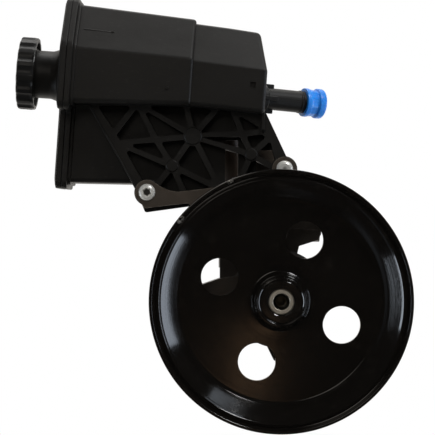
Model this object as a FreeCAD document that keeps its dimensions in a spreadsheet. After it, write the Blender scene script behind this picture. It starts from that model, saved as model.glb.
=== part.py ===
import FreeCAD, Part
import math
import os
import Sketcher

# Power steering pump with its own plastic reservoir.
# Frame: origin on the drive shaft's axis at the housing's front mounting face.
# +Y runs back along the shaft, away from the belt pulley. +Z is up, +X to the right.

V = FreeCAD.Vector

# Driving dimensions, in millimetres and degrees

SIZES = {
    # belt pulley, places along the shaft measured from the mounting face
    "pulley_radius": 86.3,
    "pulley_front": -38.0,
    "pulley_width": 28.0,
    "lip_thickness": 1.9,
    "crest_drop": 1.8,
    "groove_depth": 2.7,
    "groove_pitch": 3.56,
    "groove_count": 6,
    "groove_land": 0.9,
    "rim_wall": 2.5,
    "web_setback": 13.0,
    "web_thickness": 3.0,
    "web_edge_inset": 19.8,
    "dish_inset": 7.9,
    "collar_radius": 18.5,
    "collar_height": 5.0,
    "window_radius": 12.3,
    "window_circle": 43.0,
    "window_count": 4,
    "window_angle": -21.5,
    # hub and drive shaft
    "hub_radius": 15.9,
    "hub_length": 27.0,
    "hub_proud": 1.5,
    "puller_flange": 3.4,
    "puller_groove": 3.4,
    "puller_groove_radius": 13.0,
    "shaft_radius": 8.5,
    "shaft_recess": 1.2,
    "shaft_back": 46.0,
    "shaft_thread_radius": 4.0,
    "shaft_thread_depth": 24.0,
    "shaft_countersink": 4.9,
    "shaft_end_radius": 7.6,
    # running clearance of shaft, rotor and valve
    "running_gap": 0.05,
    "rotor_gap": 0.4,
    # housing
    "nose_radius": 19.0,
    "nose_length": 8.0,
    "barrel_radius": 33.0,
    "barrel_length": 60.0,
    "barrel_chamfer": 1.6,
    "seal_bore_radius": 14.0,
    "seal_length": 7.0,
    "bush_radius": 10.5,
    "chamber_radius": 27.0,
    "chamber_front": 18.0,
    "ring_groove_depth": 1.4,
    "ring_groove_width": 2.0,
    "chamber_gap": 0.1,
    # pumping group, thickness of each piece
    "thrust_plate_thickness": 6.0,
    "cam_ring_thickness": 15.0,
    "pressure_plate_thickness": 7.0,
    "plate_port_circle": 13.6,
    "plate_port_radius": 2.2,
    "plate_port_count": 2,
    "cover_spring_height": 4.0,
    "cover_spring_radius": 20.0,
    "cover_spring_bore": 12.0,
    "cover_spring_sheet": 1.2,
    "end_cover_thickness": 5.5,
    "cam_long_radius": 20.6,
    "cam_short_radius": 18.6,
    "vane_count": 10,
    "vane_thickness": 1.5,
    "vane_height": 5.6,
    "dowel_radius": 1.5,
    "dowel_circle": 23.6,
    "cover_seal_radius": 1.0,
    "ring_wire_radius": 0.9,
    "ring_opening": 16.0,
    # valve bore along X above the chamber
    "valve_height": 52.0,
    "valve_depth": 30.0,
    "valve_boss_radius": 14.0,
    "valve_left": -40.0,
    "valve_right": 28.5,
    "valve_bore_radius": 7.5,
    "valve_bore_end": 20.0,
    "spool_front": -22.0,
    "spool_length": 30.0,
    "spool_travel": 4.0,
    "spool_wall": 1.9,
    "spool_head": 8.0,
    "valve_wire_radius": 0.7,
    "valve_spring_turns": 6,
    "valve_spring_corners": 10,
    # pressure outlet fitting
    "fitting_hex_flats": 20.0,
    "fitting_hex_length": 9.0,
    "fitting_nose_length": 12.0,
    "fitting_port_radius": 5.1,
    "fitting_port_depth": 12.0,
    "fitting_passage_radius": 3.0,
    "fitting_collar_radius": 8.6,
    "fitting_collar_length": 4.2,
    "fitting_seal_width": 1.6,
    "fitting_seal_gap": 0.3,
    # mounting pads with threaded holes
    "pad_thickness": 16.0,
    "pad_thread_radius": 3.4,
    "left_thread_depth": 13.0,
    "lower_thread_depth": 14.0,
    "upper_thread_depth": 12.0,
    "left_pad_x": -46.0,
    "left_pad_z": -6.0,
    "left_pad_radius": 11.0,
    "lower_pad_x": 8.0,
    "lower_pad_z": -42.0,
    "lower_pad_radius": 10.5,
    "upper_pad_x": -4.0,
    "upper_pad_z": 46.0,
    "upper_pad_radius": 10.0,
    # saddle between barrel and valve boss, and the lug behind the right leg
    "saddle_front": 6.0,
    "saddle_thickness": 38.0,
    "lug_front": 27.0,
    "lug_thickness": 12.0,
    # arms that carry the reservoir
    "arm_thickness": 8.0,
    "ear_radius": 8.3,
    "left_screw_x": -88.9,
    "left_screw_z": 71.8,
    "right_screw_x": 3.6,
    "right_screw_z": 87.4,
    "screw_radius": 3.0,
    "screw_gap": 0.3,
    "screw_head_radius": 5.6,
    "screw_head_height": 3.8,
    "screw_length": 20.0,
    "screw_recess_radius": 2.4,
    "screw_recess_depth": 2.2,
    "insert_radius": 4.6,
    "insert_length": 13.0,
    # suction tube from the reservoir down to the housing
    "suction_x": -31.7,
    "suction_y": 44.0,
    "suction_radius": 5.6,
    "suction_wall": 1.2,
    "suction_boss_radius": 9.0,
    "suction_boss_foot": 20.0,
    "suction_boss_top": 70.0,
    "suction_web_front": 38.0,
    "suction_web_thickness": 14.0,
    "suction_foot": 60.0,
    "suction_top": 122.0,
    "suction_socket_low": 110.0,
    "suction_socket_height": 24.0,
    "suction_socket_radius": 10.0,
    "suction_seal_radius": 7.6,
    "suction_seal_height": 3.0,
    "suction_drill_end": 30.0,
    # reservoir, in its own leaning frame: u along it, w up across it
    "tank_tilt": 4.0,
    "tank_x": -142.9,
    "tank_z": 151.8,
    "tank_front": -8.0,
    "tank_back": 62.0,
    "tank_wall": 2.5,
    "tank_slope_depth": 22.0,
    "tank_shelf_y": 18.0,
    "tank_step_u": 84.5,
    "tank_end_u": 134.5,
    "tank_step": 2.6,
    "tank_top_left": 48.6,
    "tank_top_step": 43.6,
    "tank_top_right": 37.6,
    "tank_fold_left": 17.4,
    "tank_fold_step": 15.0,
    "tank_fold_right": 11.0,
    "tank_shelf_left": -20.2,
    "tank_shelf_step": -16.2,
    "tank_shelf_right": -18.2,
    "tank_low_left": -73.2,
    "tank_low_step": -69.0,
    "shoulder_share": 0.32,
    "crown_share": 0.52,
    "tank_corner": 3.0,
    "flange_margin": 4.2,
    "flange_thickness": 4.0,
    # cover with the filler neck
    "filler_y": 27.0,
    "cover_dome": 3.0,
    "cover_wall": 2.5,
    "neck_radius": 16.3,
    "neck_bore": 13.5,
    "neck_top": -31.0,
    "neck_flare_start": -13.0,
    "neck_flare_radius": 20.8,
    # filler cap and dipstick
    "cap_radius": 24.8,
    "cap_top": -35.6,
    "cap_skirt_end": -22.6,
    "cap_plate": 2.6,
    "cap_skirt_wall": 3.4,
    "cap_sleeve_gap": 0.4,
    "cap_sleeve_wall": 1.8,
    "cap_sleeve_end": -24.5,
    "cap_grip_count": 16,
    "cap_grip_radius": 3.4,
    "cap_grip_depth": 1.3,
    "cap_seal_bore": 13.9,
    "dipstick_radius": 2.2,
    "dipstick_end": 52.0,
    "dipstick_tip": 24.0,
    "dipstick_flat": 1.2,
    "dipstick_collar": 2.4,
    "dipstick_collar_length": 4.0,
    "dipstick_point": 2.0,
    # return tube and its dust cap, in a frame turned back from the tank's axis
    "return_setback": 3.5,
    "return_y": 28.0,
    "return_w": -5.6,
    "return_turn": 22.0,
    "return_radius": 7.5,
    "return_bore": 5.6,
    "return_length": 38.0,
    "return_bore_start": -12.0,
    "return_lug_width": 3.0,
    "return_lug_length": 10.0,
    "return_lug_rise": 2.6,
    "return_lug_root": 2.0,
    "dust_cap_start": 31.0,
    "dust_cap_length": 16.5,
    "dust_cap_wall": 1.3,
    "dust_cap_end_wall": 1.6,
    "dust_cap_gap": 0.08,
    "dust_cap_bead": 0.9,
    # screen over the tank's outlet
    "screen_radius": 9.0,
    "screen_height": 14.0,
    "screen_wall": 1.2,
    # ribbed bracket moulded under the tank
    "rib_width": 3.9,
    "truss_front": 8.0,
    "truss_back": 19.0,
    "truss_corner": 1.3,
    "truss_boss_radius": 9.0,
    "truss_boss_back": 26.0,
    "hub_disc_radius": 6.2,
    "small_disc_radius": 4.4,
}

# Where the bracket's ribs meet, seen from the front: X and Z of each joint
RIB_JOINTS = {
    "rim_top": (-126.5, 132.6),
    "rim_upper": (-112.0, 110.9),
    "rim_lower": (-108.6, 105.1),
    "top_second": (-95.7, 132.2),
    "cross": (-83.2, 107.5),
    "big_disc": (-58.1, 109.9),
    "low_disc": (-72.1, 89.7),
    "top_third": (-62.9, 131.6),
    "top_fourth": (-40.3, 130.0),
    "top_fifth": (-31.7, 129.0),
    "right_cross": (-24.9, 111.4),
    "wedge_corner": (-11.9, 117.2),
    "edge_meet": (-11.9, 112.8),
    "right_disc": (-18.6, 97.5),
    "right_rim": (-4.6, 110.2),
    "foot_left": (-88.9, 69.0),
    "foot_second": (-62.0, 66.5),
    "foot_third": (-39.8, 74.2),
    "foot_fourth": (-27.5, 77.5),
    "foot_right": (1.5, 85.5),
}

# Openings between the ribs, each named by the joints round it
RIB_WINDOWS = [
    ("rim_top", "top_second", "rim_upper"),
    ("rim_upper", "top_second", "cross", "rim_lower"),
    ("top_second", "big_disc", "cross"),
    ("top_second", "top_third", "big_disc"),
    ("top_third", "top_fourth", "big_disc"),
    ("top_fourth", "top_fifth", "right_cross", "big_disc"),
    ("top_fifth", "wedge_corner", "edge_meet", "right_cross"),
    ("right_cross", "edge_meet", "right_rim", "right_disc"),
    ("right_rim", "foot_right", "right_disc"),
    ("big_disc", "right_cross", "right_disc"),
    ("big_disc", "right_disc", "foot_fourth", "foot_third"),
    ("right_disc", "foot_right", "foot_fourth"),
    ("big_disc", "foot_third", "low_disc"),
    ("rim_lower", "cross", "low_disc"),
    ("cross", "big_disc", "low_disc"),
    ("rim_lower", "low_disc", "foot_left"),
    ("low_disc", "foot_second", "foot_left"),
    ("low_disc", "foot_third", "foot_second"),
]

# Outer edge of the ribbed bracket, seen from the front
BRACKET_EDGE = {
    "edge_top_left": (-130.0, 132.8),
    "edge_left_low": (-95.8, 71.3),
    "edge_tip": (-90.4, 58.2),
    "edge_bottom": (-60.0, 62.4),
    "edge_bottom_mid": (-30.0, 68.5),
    "edge_right_low": (8.0, 79.5),
    "edge_right": (9.5, 91.0),
    "edge_right_rim": (5.4, 95.5),
    "edge_top_right": (-8.6, 125.4),
    "edge_top_step": (-57.8, 131.2),
}

# The arm out to the left screw, its upper edge hollowed like the casting's
LEFT_ARM = {
    "arm_neck": (-83.4, 78.0),
    "arm_hollow_start": (-79.6, 75.6),
    "arm_hollow_low": (-73.4, 72.8),
    "arm_hollow_mid": (-68.2, 72.1),
    "arm_hollow_end": (-59.7, 73.0),
    "arm_shoulder": (-44.0, 75.0),
    "arm_root_top": (-20.0, 66.0),
    "arm_root_low": (-26.0, 44.0),
    "arm_underside": (-40.0, 55.0),
    "arm_low_mid": (-62.0, 64.4),
    "arm_low_end": (-90.5, 61.0),
    "arm_outer": (-96.4, 68.6),
}

# The leg up to the right screw
RIGHT_LEG = {
    "leg_left_top": (-4.4, 85.4),
    "leg_left_mid": (-13.0, 66.0),
    "leg_left_low": (-24.0, 50.0),
    "leg_right_low": (28.5, 46.0),
    "leg_right_mid": (27.0, 64.0),
    "leg_right_top": (11.8, 85.4),
}

# The casting between barrel and valve boss
SADDLE = {
    "saddle_left_low": (-40.0, 13.8),
    "saddle_left_top": (-40.0, 54.0),
    "saddle_right_top": (28.5, 54.0),
    "saddle_right_mid": (28.5, 43.6),
    "saddle_corner": (26.5, 39.6),
    "saddle_notch": (13.6, 35.5),
    "saddle_in_right": (10.0, 20.0),
    "saddle_in_left": (-20.0, 10.0),
}

# Webs from the barrel out to the left and lower pads
LEFT_WEB = {
    "left_web_root_top": (-26.0, 16.0),
    "left_web_top": (-40.4, 13.8),
    "left_web_end": (-52.0, 9.8),
    "left_web_outer": (-56.8, 0.0),
    "left_web_low": (-49.0, -16.4),
    "left_web_root_low": (-26.0, -19.0),
}
LOWER_WEB = {
    "lower_web_root_left": (-3.0, -26.0),
    "lower_web_left": (-2.4, -42.6),
    "lower_web_right": (18.3, -43.6),
    "lower_web_root_right": (22.0, -22.0),
}

# Cast lug behind the right leg
REAR_LUG = {
    "lug_left_low": (-15.0, 50.0),
    "lug_left_top": (-15.0, 98.5),
    "lug_crest": (-12.5, 101.0),
    "lug_right_top": (-2.2, 101.0),
    "lug_right_low": (-2.2, 50.0),
}

# Web from the saddle back to the suction tube's boss
SUCTION_WEB = {
    "suction_web_left_low": (-39.7, 20.0),
    "suction_web_left_top": (-39.7, 52.0),
    "suction_web_right_top": (-7.7, 52.0),
    "suction_web_right_low": (-7.7, 10.0),
    "suction_web_root": (-20.0, 10.0),
}

OUTLINES = [
    RIB_JOINTS, BRACKET_EDGE, LEFT_ARM, RIGHT_LEG, SADDLE, LEFT_WEB, LOWER_WEB, REAR_LUG,
    SUCTION_WEB]
for table in OUTLINES:
    for point_name, (point_x, point_z) in table.items():
        SIZES[point_name + "_x"] = point_x
        SIZES[point_name + "_z"] = point_z

doc = FreeCAD.newDocument("PowerSteeringPump")
sheet = doc.addObject("Spreadsheet::Sheet", "Sizes")
for row, (alias, number) in enumerate(SIZES.items(), start=1):
    sheet.set("A%d" % row, alias)
    sheet.set("B%d" % row, str(number))
    sheet.setAlias("B%d" % row, alias)
doc.recompute()


class Size:
    """A length with its spreadsheet formula and its present value."""

    def __init__(self, formula, value):
        self.formula = formula
        self.value = value

    def joined(self, other, sign, value):
        return Size("(%s %s %s)" % (self.formula, sign, other.formula), value)

    def __add__(self, other):
        other = as_size(other)
        return self.joined(other, "+", self.value + other.value)

    def __sub__(self, other):
        other = as_size(other)
        return self.joined(other, "-", self.value - other.value)

    def __mul__(self, other):
        other = as_size(other)
        return self.joined(other, "*", self.value * other.value)

    def __truediv__(self, other):
        other = as_size(other)
        return self.joined(other, "/", self.value / other.value)

    def __radd__(self, other):
        return as_size(other) + self

    def __rsub__(self, other):
        return as_size(other) - self

    def __rmul__(self, other):
        return as_size(other) * self

    def __neg__(self):
        return Size("(0 - %s)" % self.formula, -self.value)


def as_size(thing):
    """A plain number as a Size, or the Size itself."""
    if isinstance(thing, Size):
        return thing
    return Size(repr(thing), thing)


def size(alias):
    """The Size that a spreadsheet cell holds."""
    return Size("Sizes." + alias, float(sheet.get(alias)))


def number(alias):
    """The present value of a spreadsheet cell."""
    return float(sheet.get(alias))


def point(name):
    """A front-view point of one of the outline tables."""
    return (size(name + "_x"), size(name + "_z"))


def bind(thing, prop, amount):
    """Tie a property to the spreadsheet."""
    thing.setExpression(prop, as_size(amount).formula)


# Frames

def tank_frame():
    """The reservoir's leaning frame."""
    turn = FreeCAD.Rotation(V(0, 1, 0), number("tank_tilt"))
    return FreeCAD.Placement(V(number("tank_x"), 0, number("tank_z")), turn)


def return_frame():
    """The return tube's frame, on the reservoir's right end."""
    root = V(number("tank_end_u") - number("return_setback"), number("return_y"),
             number("return_w"))
    turn = FreeCAD.Rotation(V(0, 0, 1), number("return_turn"))
    return tank_frame().multiply(FreeCAD.Placement(root, turn))


# Sketches and features

PLANE_OF = {"front": "XZ_Plane", "side": "YZ_Plane", "top": "XY_Plane"}


def new_body(label, placement=None):
    body = doc.addObject("PartDesign::Body", label)
    body.Label = label
    if placement is not None:
        body.Placement = placement
    return body


def new_sketch(body, name, view, level=0.0):
    """A sketch on one of the body's own planes, moved out to a level along it."""
    role = PLANE_OF[view]
    plane = [item for item in body.Origin.OriginFeatures if item.Role == role][0]
    sketch = body.newObject("Sketcher::SketchObject", name)
    sketch.AttachmentSupport = [(plane, "")]
    sketch.MapMode = "FlatFace"
    shift = -as_size(level) if view == "front" else as_size(level)
    bind(sketch, "AttachmentOffset.Base.z", shift)
    return sketch


def hold_point(sketch, geometry, end, place):
    """Fix one end of a sketched line at a named place."""
    for kind, amount in zip(("DistanceX", "DistanceY"), place):
        amount = as_size(amount)
        rule = Sketcher.Constraint(kind, -1, 1, geometry, end, amount.value)
        index = sketch.addConstraint(rule)
        sketch.setExpression("Constraints[%d]" % index, amount.formula)


def draw_outline(sketch, places):
    """A closed outline of straight lines through the places."""
    first = sketch.GeometryCount
    count = len(places)
    for step, place in enumerate(places):
        after = places[(step + 1) % count]
        start = V(as_size(place[0]).value, as_size(place[1]).value, 0)
        end = V(as_size(after[0]).value, as_size(after[1]).value, 0)
        sketch.addGeometry(Part.LineSegment(start, end), False)
    for step in range(count):
        sketch.addConstraint(
            Sketcher.Constraint("Coincident", first + step, 2, first + (step + 1) % count, 1))
        hold_point(sketch, first + step, 1, places[step])


def draw_circle(sketch, place, radius):
    """A circle about a named place."""
    centre = V(as_size(place[0]).value, as_size(place[1]).value, 0)
    radius = as_size(radius)
    index = sketch.addGeometry(Part.Circle(centre, V(0, 0, 1), radius.value), False)
    hold_point(sketch, index, 3, place)
    rule = sketch.addConstraint(Sketcher.Constraint("Radius", index, radius.value))
    sketch.setExpression("Constraints[%d]" % rule, radius.formula)


def pad(body, name, view, level, thickness, draw):
    """Material from a level, thickness deep along the plane's positive direction."""
    sketch = new_sketch(body, name + "_outline", view, level)
    draw(sketch)
    feature = body.newObject("PartDesign::Pad", name)
    feature.Profile = sketch
    feature.Reversed = view == "front"
    bind(feature, "Length", thickness)
    return feature


def pocket(body, name, view, level, depth, draw):
    """A cut from a level, depth deep along the plane's positive direction."""
    sketch = new_sketch(body, name + "_outline", view, level)
    draw(sketch)
    feature = body.newObject("PartDesign::Pocket", name)
    feature.Profile = sketch
    feature.Reversed = view != "front"
    bind(feature, "Length", depth)
    return feature


def outline_of(names):
    """Draws the named points of a table as one outline."""
    return lambda sketch: draw_outline(sketch, [point(name) for name in names])


def circle_at(place, radius):
    """Draws one circle."""
    return lambda sketch: draw_circle(sketch, place, radius)


def turned(body, name, places, axis="V_Axis", cut=False):
    """A revolved profile in the top plane, about its upright or level axis."""
    sketch = new_sketch(body, name + "_profile", "top")
    draw_outline(sketch, places)
    kind = "PartDesign::Groove" if cut else "PartDesign::Revolution"
    feature = body.newObject(kind, name)
    feature.Profile = sketch
    feature.ReferenceAxis = (sketch, [axis])
    feature.Angle = 360
    return feature


def polar_copies(body, feature, axis_role, count):
    """Repeat one feature round an axis of the body."""
    axis = [item for item in body.Origin.OriginFeatures if item.Role == axis_role][0]
    pattern = body.newObject("PartDesign::PolarPattern", feature.Name + "_copies")
    pattern.Originals = [feature]
    pattern.Axis = (axis, [""])
    pattern.Angle = 360
    bind(pattern, "Occurrences", count)
    body.Tip = pattern
    return pattern


def long_edges(shape, direction, least, beyond):
    """Names of the edges that run along a direction, long enough and past a place in X."""
    names = []
    for index, edge in enumerate(shape.Edges, start=1):
        if edge.Closed or edge.Length < least or edge.BoundBox.XMin < beyond - 0.01:
            continue
        along = (edge.Vertexes[-1].Point - edge.Vertexes[0].Point).normalize()
        if abs(along.dot(direction)) > 0.97:
            names.append("Edge%d" % index)
    return names


def round_edges(body, name, base, edges, radius):
    """A fillet on the named edges of a feature."""
    feature = body.newObject("PartDesign::Fillet", name)
    feature.Base = (base, edges)
    bind(feature, "Radius", radius)
    body.Tip = feature
    return feature


def cylinder(name, placement, radius, height):
    """A plain cylinder along its frame's Z."""
    item = doc.addObject("Part::Cylinder", name)
    bind(item, "Radius", radius)
    bind(item, "Height", height)
    item.Placement = placement
    return item


def facing_back(x_place, y_place, z_place):
    """A frame whose Z points along +Y."""
    return FreeCAD.Placement(V(x_place, y_place, z_place), FreeCAD.Rotation(V(1, 0, 0), -90))


def upright(x_place, y_place, z_place):
    """A frame whose Z points up."""
    return FreeCAD.Placement(V(x_place, y_place, z_place), FreeCAD.Rotation())


def facing_along(frame, distance):
    """A frame on another one's X axis, with its own Z along that axis."""
    turn = FreeCAD.Rotation(V(0, 1, 0), 90)
    return frame.multiply(FreeCAD.Placement(V(distance, 0, 0), turn))


def boolean(kind, label, base, tool):
    """A cut or common of two objects."""
    item = doc.addObject(kind, label)
    item.Base = base
    item.Tool = tool
    item.Label = label
    return item


def fused(label, items):
    """One solid of several."""
    item = doc.addObject("Part::MultiFuse", label)
    item.Shapes = items
    item.Refine = True
    item.Label = label
    return item


def grouped(label, items):
    """Separate solids in one node."""
    item = doc.addObject("Part::Compound", label)
    item.Links = items
    item.Label = label
    return item


# Belt pulley and shaft

def make_pulley():
    """Spun pulley: ribbed rim, dished front, four round windows."""
    front = size("pulley_front")
    rear = front + size("pulley_width")
    outer = size("pulley_radius")
    lip = size("lip_thickness")
    crest = outer - size("crest_drop")
    root = crest - size("groove_depth")
    inner = root - size("rim_wall")
    pitch = size("groove_pitch")
    web_front = front + size("web_setback")
    web_back = web_front + size("web_thickness")
    dish = outer - size("dish_inset")
    edge = outer - size("web_edge_inset")
    collar = size("collar_radius")
    land = size("groove_land") / 2
    groove_half = pitch / 2 - land
    start = rear - lip * 1.2 - pitch * size("groove_count")
    body = new_body("pulley")
    ribs = []
    for step in range(int(number("groove_count"))):
        middle = start + pitch * (step + 0.5)
        ribs += [(crest, middle - groove_half), (root, middle - 0.2),
                 (root, middle + 0.2), (crest, middle + groove_half)]
    places = [
        (size("hub_radius"), web_front - size("collar_height")),
        (collar, web_front - size("collar_height")),
        (collar + 3, web_front),
        (edge, web_front),
        (edge + 2.0, web_front - 1.0),
        (dish, front + 3.2),
        (dish + 1.4, front + 2.2),
        (outer - lip * 2, front + 2.2),
        (outer - lip, front),
        (outer, front),
        (outer, front + lip),
        (crest, start - 0.4),
    ] + ribs + [
        (crest, rear - lip * 1.2),
        (outer, rear - lip),
        (outer, rear),
        (inner, rear),
        (inner, front + 7.4),
        (dish + 0.6, front + 6.2),
        (edge + 1.4, web_back),
        (size("hub_radius") + 5, web_back),
        (size("hub_radius"), web_back + 2.4),
    ]
    turned(body, "pulley_section", places)
    angle = number("window_angle")
    across = size("window_circle") * math.cos(math.radians(angle))
    height = size("window_circle") * math.sin(math.radians(angle))
    hole = pocket(body, "pulley_window", "front", web_front - 1, size("web_thickness") + 2,
                  circle_at((across, height), size("window_radius")))
    doc.recompute()
    polar_copies(body, hole, "Y_Axis", size("window_count"))
    return body


def make_pulley_hub():
    """Pressed-in hub with the puller groove at its nose."""
    front = size("pulley_front") - size("hub_proud")
    radius = size("hub_radius")
    groove = front + size("puller_flange")
    after = groove + size("puller_groove")
    rear = front + size("hub_length")
    bore = size("shaft_radius")
    body = new_body("pulley_hub")
    turned(body, "hub_section", [
        (bore, front), (radius - 0.8, front), (radius, front + 0.8), (radius, groove),
        (size("puller_groove_radius"), groove + 0.6), (size("puller_groove_radius"), after - 0.6),
        (radius, after), (radius, rear - 1), (radius - 1, rear), (bore, rear)])
    return body


def make_drive_shaft():
    """Drive shaft with a threaded and countersunk front end."""
    front = size("pulley_front") - size("hub_proud") + size("shaft_recess")
    back = size("shaft_back")
    radius = size("shaft_radius")
    thread = size("shaft_thread_radius")
    depth = front + size("shaft_thread_depth")
    sink = size("shaft_countersink")
    body = new_body("drive_shaft")
    turned(body, "shaft_section", [
        (0, depth + 2.4), (thread, depth), (thread, front + (sink - thread)), (sink, front),
        (size("shaft_end_radius"), front), (radius, front + 0.9), (radius, back - 1),
        (radius - 1, back), (0, back)])
    return body


# Housing

def make_pump_housing():
    """One casting: barrel, nose, valve boss, mounting pads, reservoir arms."""
    body = new_body("pump_housing")
    barrel = size("barrel_radius")
    chamfer = size("barrel_chamfer")
    length = size("barrel_length")
    nose = size("nose_radius")
    turned(body, "barrel", [
        (0, -size("nose_length")), (nose - 0.8, -size("nose_length")),
        (nose, 0.8 - size("nose_length")), (nose, 0), (barrel - chamfer, 0),
        (barrel, chamfer), (barrel, length - chamfer), (barrel - chamfer, length), (0, length)])
    pad(body, "saddle", "front", size("saddle_front"), size("saddle_thickness"), outline_of(SADDLE))
    valve_axis = (size("valve_depth"), size("valve_height"))
    pad(body, "valve_boss", "side", size("valve_left"), size("valve_right") - size("valve_left"),
        circle_at(valve_axis, size("valve_boss_radius")))
    arm = size("arm_thickness")
    pad(body, "left_arm", "front", 0.0, arm, outline_of(LEFT_ARM))
    pad(body, "left_ear", "front", 0.0, arm, circle_at(point("left_screw"), size("ear_radius")))
    pad(body, "right_leg", "front", 0.0, arm, outline_of(RIGHT_LEG))
    pad(body, "right_ear", "front", 0.0, arm, circle_at(point("right_screw"), size("ear_radius")))
    pad(body, "rear_lug", "front", size("lug_front"), size("lug_thickness"), outline_of(REAR_LUG))
    pad(body, "left_web", "front", 0.0, size("pad_thickness"), outline_of(LEFT_WEB))
    pad(body, "lower_web", "front", 0.0, size("pad_thickness"), outline_of(LOWER_WEB))
    for side in ("left", "lower", "upper"):
        pad(body, side + "_mount_pad", "front", 0.0, size("pad_thickness"),
            circle_at(point(side + "_pad"), size(side + "_pad_radius")))
    suction = (size("suction_x"), size("suction_y"))
    pad(body, "suction_boss", "top", size("suction_boss_foot"),
        size("suction_boss_top") - size("suction_boss_foot"),
        circle_at(suction, size("suction_boss_radius")))
    pad(body, "suction_web", "front", size("suction_web_front"), size("suction_web_thickness"),
        outline_of(SUCTION_WEB))
    turned(body, "chamber", housing_bore(), cut=True)
    pocket(body, "valve_bore", "side", size("valve_left") - 1,
           size("valve_bore_end") - size("valve_left") + 1,
           circle_at(valve_axis, size("valve_bore_radius")))
    pocket(body, "suction_socket", "top", size("suction_foot"),
           size("suction_boss_top") - size("suction_foot") + 1,
           circle_at(suction, size("suction_radius")))
    pocket(body, "suction_drilling", "top", size("suction_drill_end"),
           size("suction_foot") - size("suction_drill_end") + 1,
           circle_at(suction, size("suction_radius") - size("suction_wall")))
    for side in ("left", "lower", "upper"):
        pocket(body, side + "_mount_thread", "front", -1.0, size(side + "_thread_depth") + 1,
               circle_at(point(side + "_pad"), size("pad_thread_radius")))
    for side in ("left", "right"):
        pocket(body, side + "_screw_hole", "front", -1.0, arm + 2,
               circle_at(point(side + "_screw"), size("screw_radius") + size("screw_gap")))
    return body


def housing_bore():
    """The stepped bore for seal, bush and pumping group, open at the back."""
    nose = -size("nose_length")
    seal_end = nose + size("seal_length")
    chamber = size("chamber_front")
    ring = ring_place() - size("ring_groove_width") / 2
    ring_end = ring + size("ring_groove_width")
    groove = size("chamber_radius") + size("ring_groove_depth")
    end = size("barrel_length") + 1
    return [
        (0, nose - 1), (size("seal_bore_radius"), nose - 1), (size("seal_bore_radius"), seal_end),
        (size("bush_radius"), seal_end), (size("bush_radius"), chamber),
        (size("chamber_radius"), chamber), (size("chamber_radius"), ring), (groove, ring),
        (groove, ring_end), (size("chamber_radius"), ring_end), (size("chamber_radius"), end),
        (0, end)]


def stack_front(piece):
    """Where each piece of the pumping group starts, counted back along the shaft."""
    order = ["thrust_plate", "cam_ring", "pressure_plate", "cover_spring", "end_cover", "end"]
    thickness = {"cover_spring": "cover_spring_height"}
    level = size("chamber_front")
    for name in order:
        if name == piece:
            return level
        level = level + size(thickness.get(name, name + "_thickness"))
    return level


def ring_place():
    """Centre of the retaining ring, just behind the end cover."""
    return stack_front("end") + size("ring_wire_radius")


def make_shaft_bush():
    body = new_body("shaft_bush")
    front = size("seal_length") - size("nose_length")
    inner = size("shaft_radius") + size("running_gap")
    turned(body, "bush_section", [
        (inner, front), (size("bush_radius"), front),
        (size("bush_radius"), size("chamber_front") - 1), (inner, size("chamber_front") - 1)])
    return body


def make_shaft_seal():
    """Lip seal: outer case, inner lip that leans on the shaft."""
    body = new_body("shaft_seal")
    front = -size("nose_length")
    back = front + size("seal_length")
    outer = size("seal_bore_radius")
    lip = size("shaft_radius") + size("running_gap")
    turned(body, "seal_section", [
        (lip + 1.6, front), (outer, front), (outer, back), (outer - 1.4, back),
        (outer - 1.4, front + 2), (lip + 2.4, front + 2), (lip + 1.2, back - 1.6),
        (lip, back - 2.6), (lip + 0.8, front + 1.2)])
    return body


def ring_disc(label, front, thickness, outer, inner):
    """A flat round plate with a hole."""
    body = new_body(label)
    turned(body, label + "_section", [
        (inner, front), (outer, front), (outer, front + thickness), (inner, front + thickness)])
    return body


def cut_dowel_holes(body, name, front, thickness):
    """Two opposite holes for the dowels, through a plate."""
    for side, sign in (("upper", 1), ("lower", -1)):
        pocket(body, "%s_%s_dowel_hole" % (name, side), "front", front - 1, thickness + 2,
               circle_at((0, sign * size("dowel_circle")), size("dowel_radius")))


def chamber_fit():
    """Radius of the plates that slide into the chamber."""
    return size("chamber_radius") - size("chamber_gap")


def make_thrust_plate():
    front = stack_front("thrust_plate")
    thickness = size("thrust_plate_thickness")
    body = ring_disc("thrust_plate", front, thickness, chamber_fit(),
                     size("shaft_radius") + size("rotor_gap"))
    cut_dowel_holes(body, "thrust", front, thickness)
    return body


def make_pressure_plate():
    front = stack_front("pressure_plate")
    thickness = size("pressure_plate_thickness")
    body = ring_disc("pressure_plate", front, thickness, chamber_fit(),
                     size("shaft_radius") + size("rotor_gap"))
    cut_dowel_holes(body, "pressure", front, thickness)
    port = pocket(body, "pressure_port", "front", front - 1, thickness + 2,
                  circle_at((size("plate_port_circle"), 0), size("plate_port_radius")))
    doc.recompute()
    polar_copies(body, port, "Y_Axis", size("plate_port_count"))
    return body


def make_cam_ring():
    """Ring whose oval bore drives the vanes in and out twice a turn."""
    front = stack_front("cam_ring")
    thickness = size("cam_ring_thickness")
    body = new_body("cam_ring_blank")
    pad(body, "cam_ring_disc", "front", front, thickness, circle_at((0, 0), chamber_fit()))
    cut_dowel_holes(body, "cam", front, thickness)
    oval = doc.addObject("Part::Ellipse", "cam_oval")
    bind(oval, "MajorRadius", size("cam_long_radius"))
    bind(oval, "MinorRadius", size("cam_short_radius"))
    oval.Placement = facing_back(0, front.value - 1, 0)
    bore = doc.addObject("Part::Extrusion", "cam_bore")
    bore.Base = oval
    bore.DirMode = "Custom"
    bore.Dir = V(0, 1, 0)
    bore.Solid = True
    bind(bore, "LengthFwd", thickness + 2)
    return boolean("Part::Cut", "cam_ring", body, bore)


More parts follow.
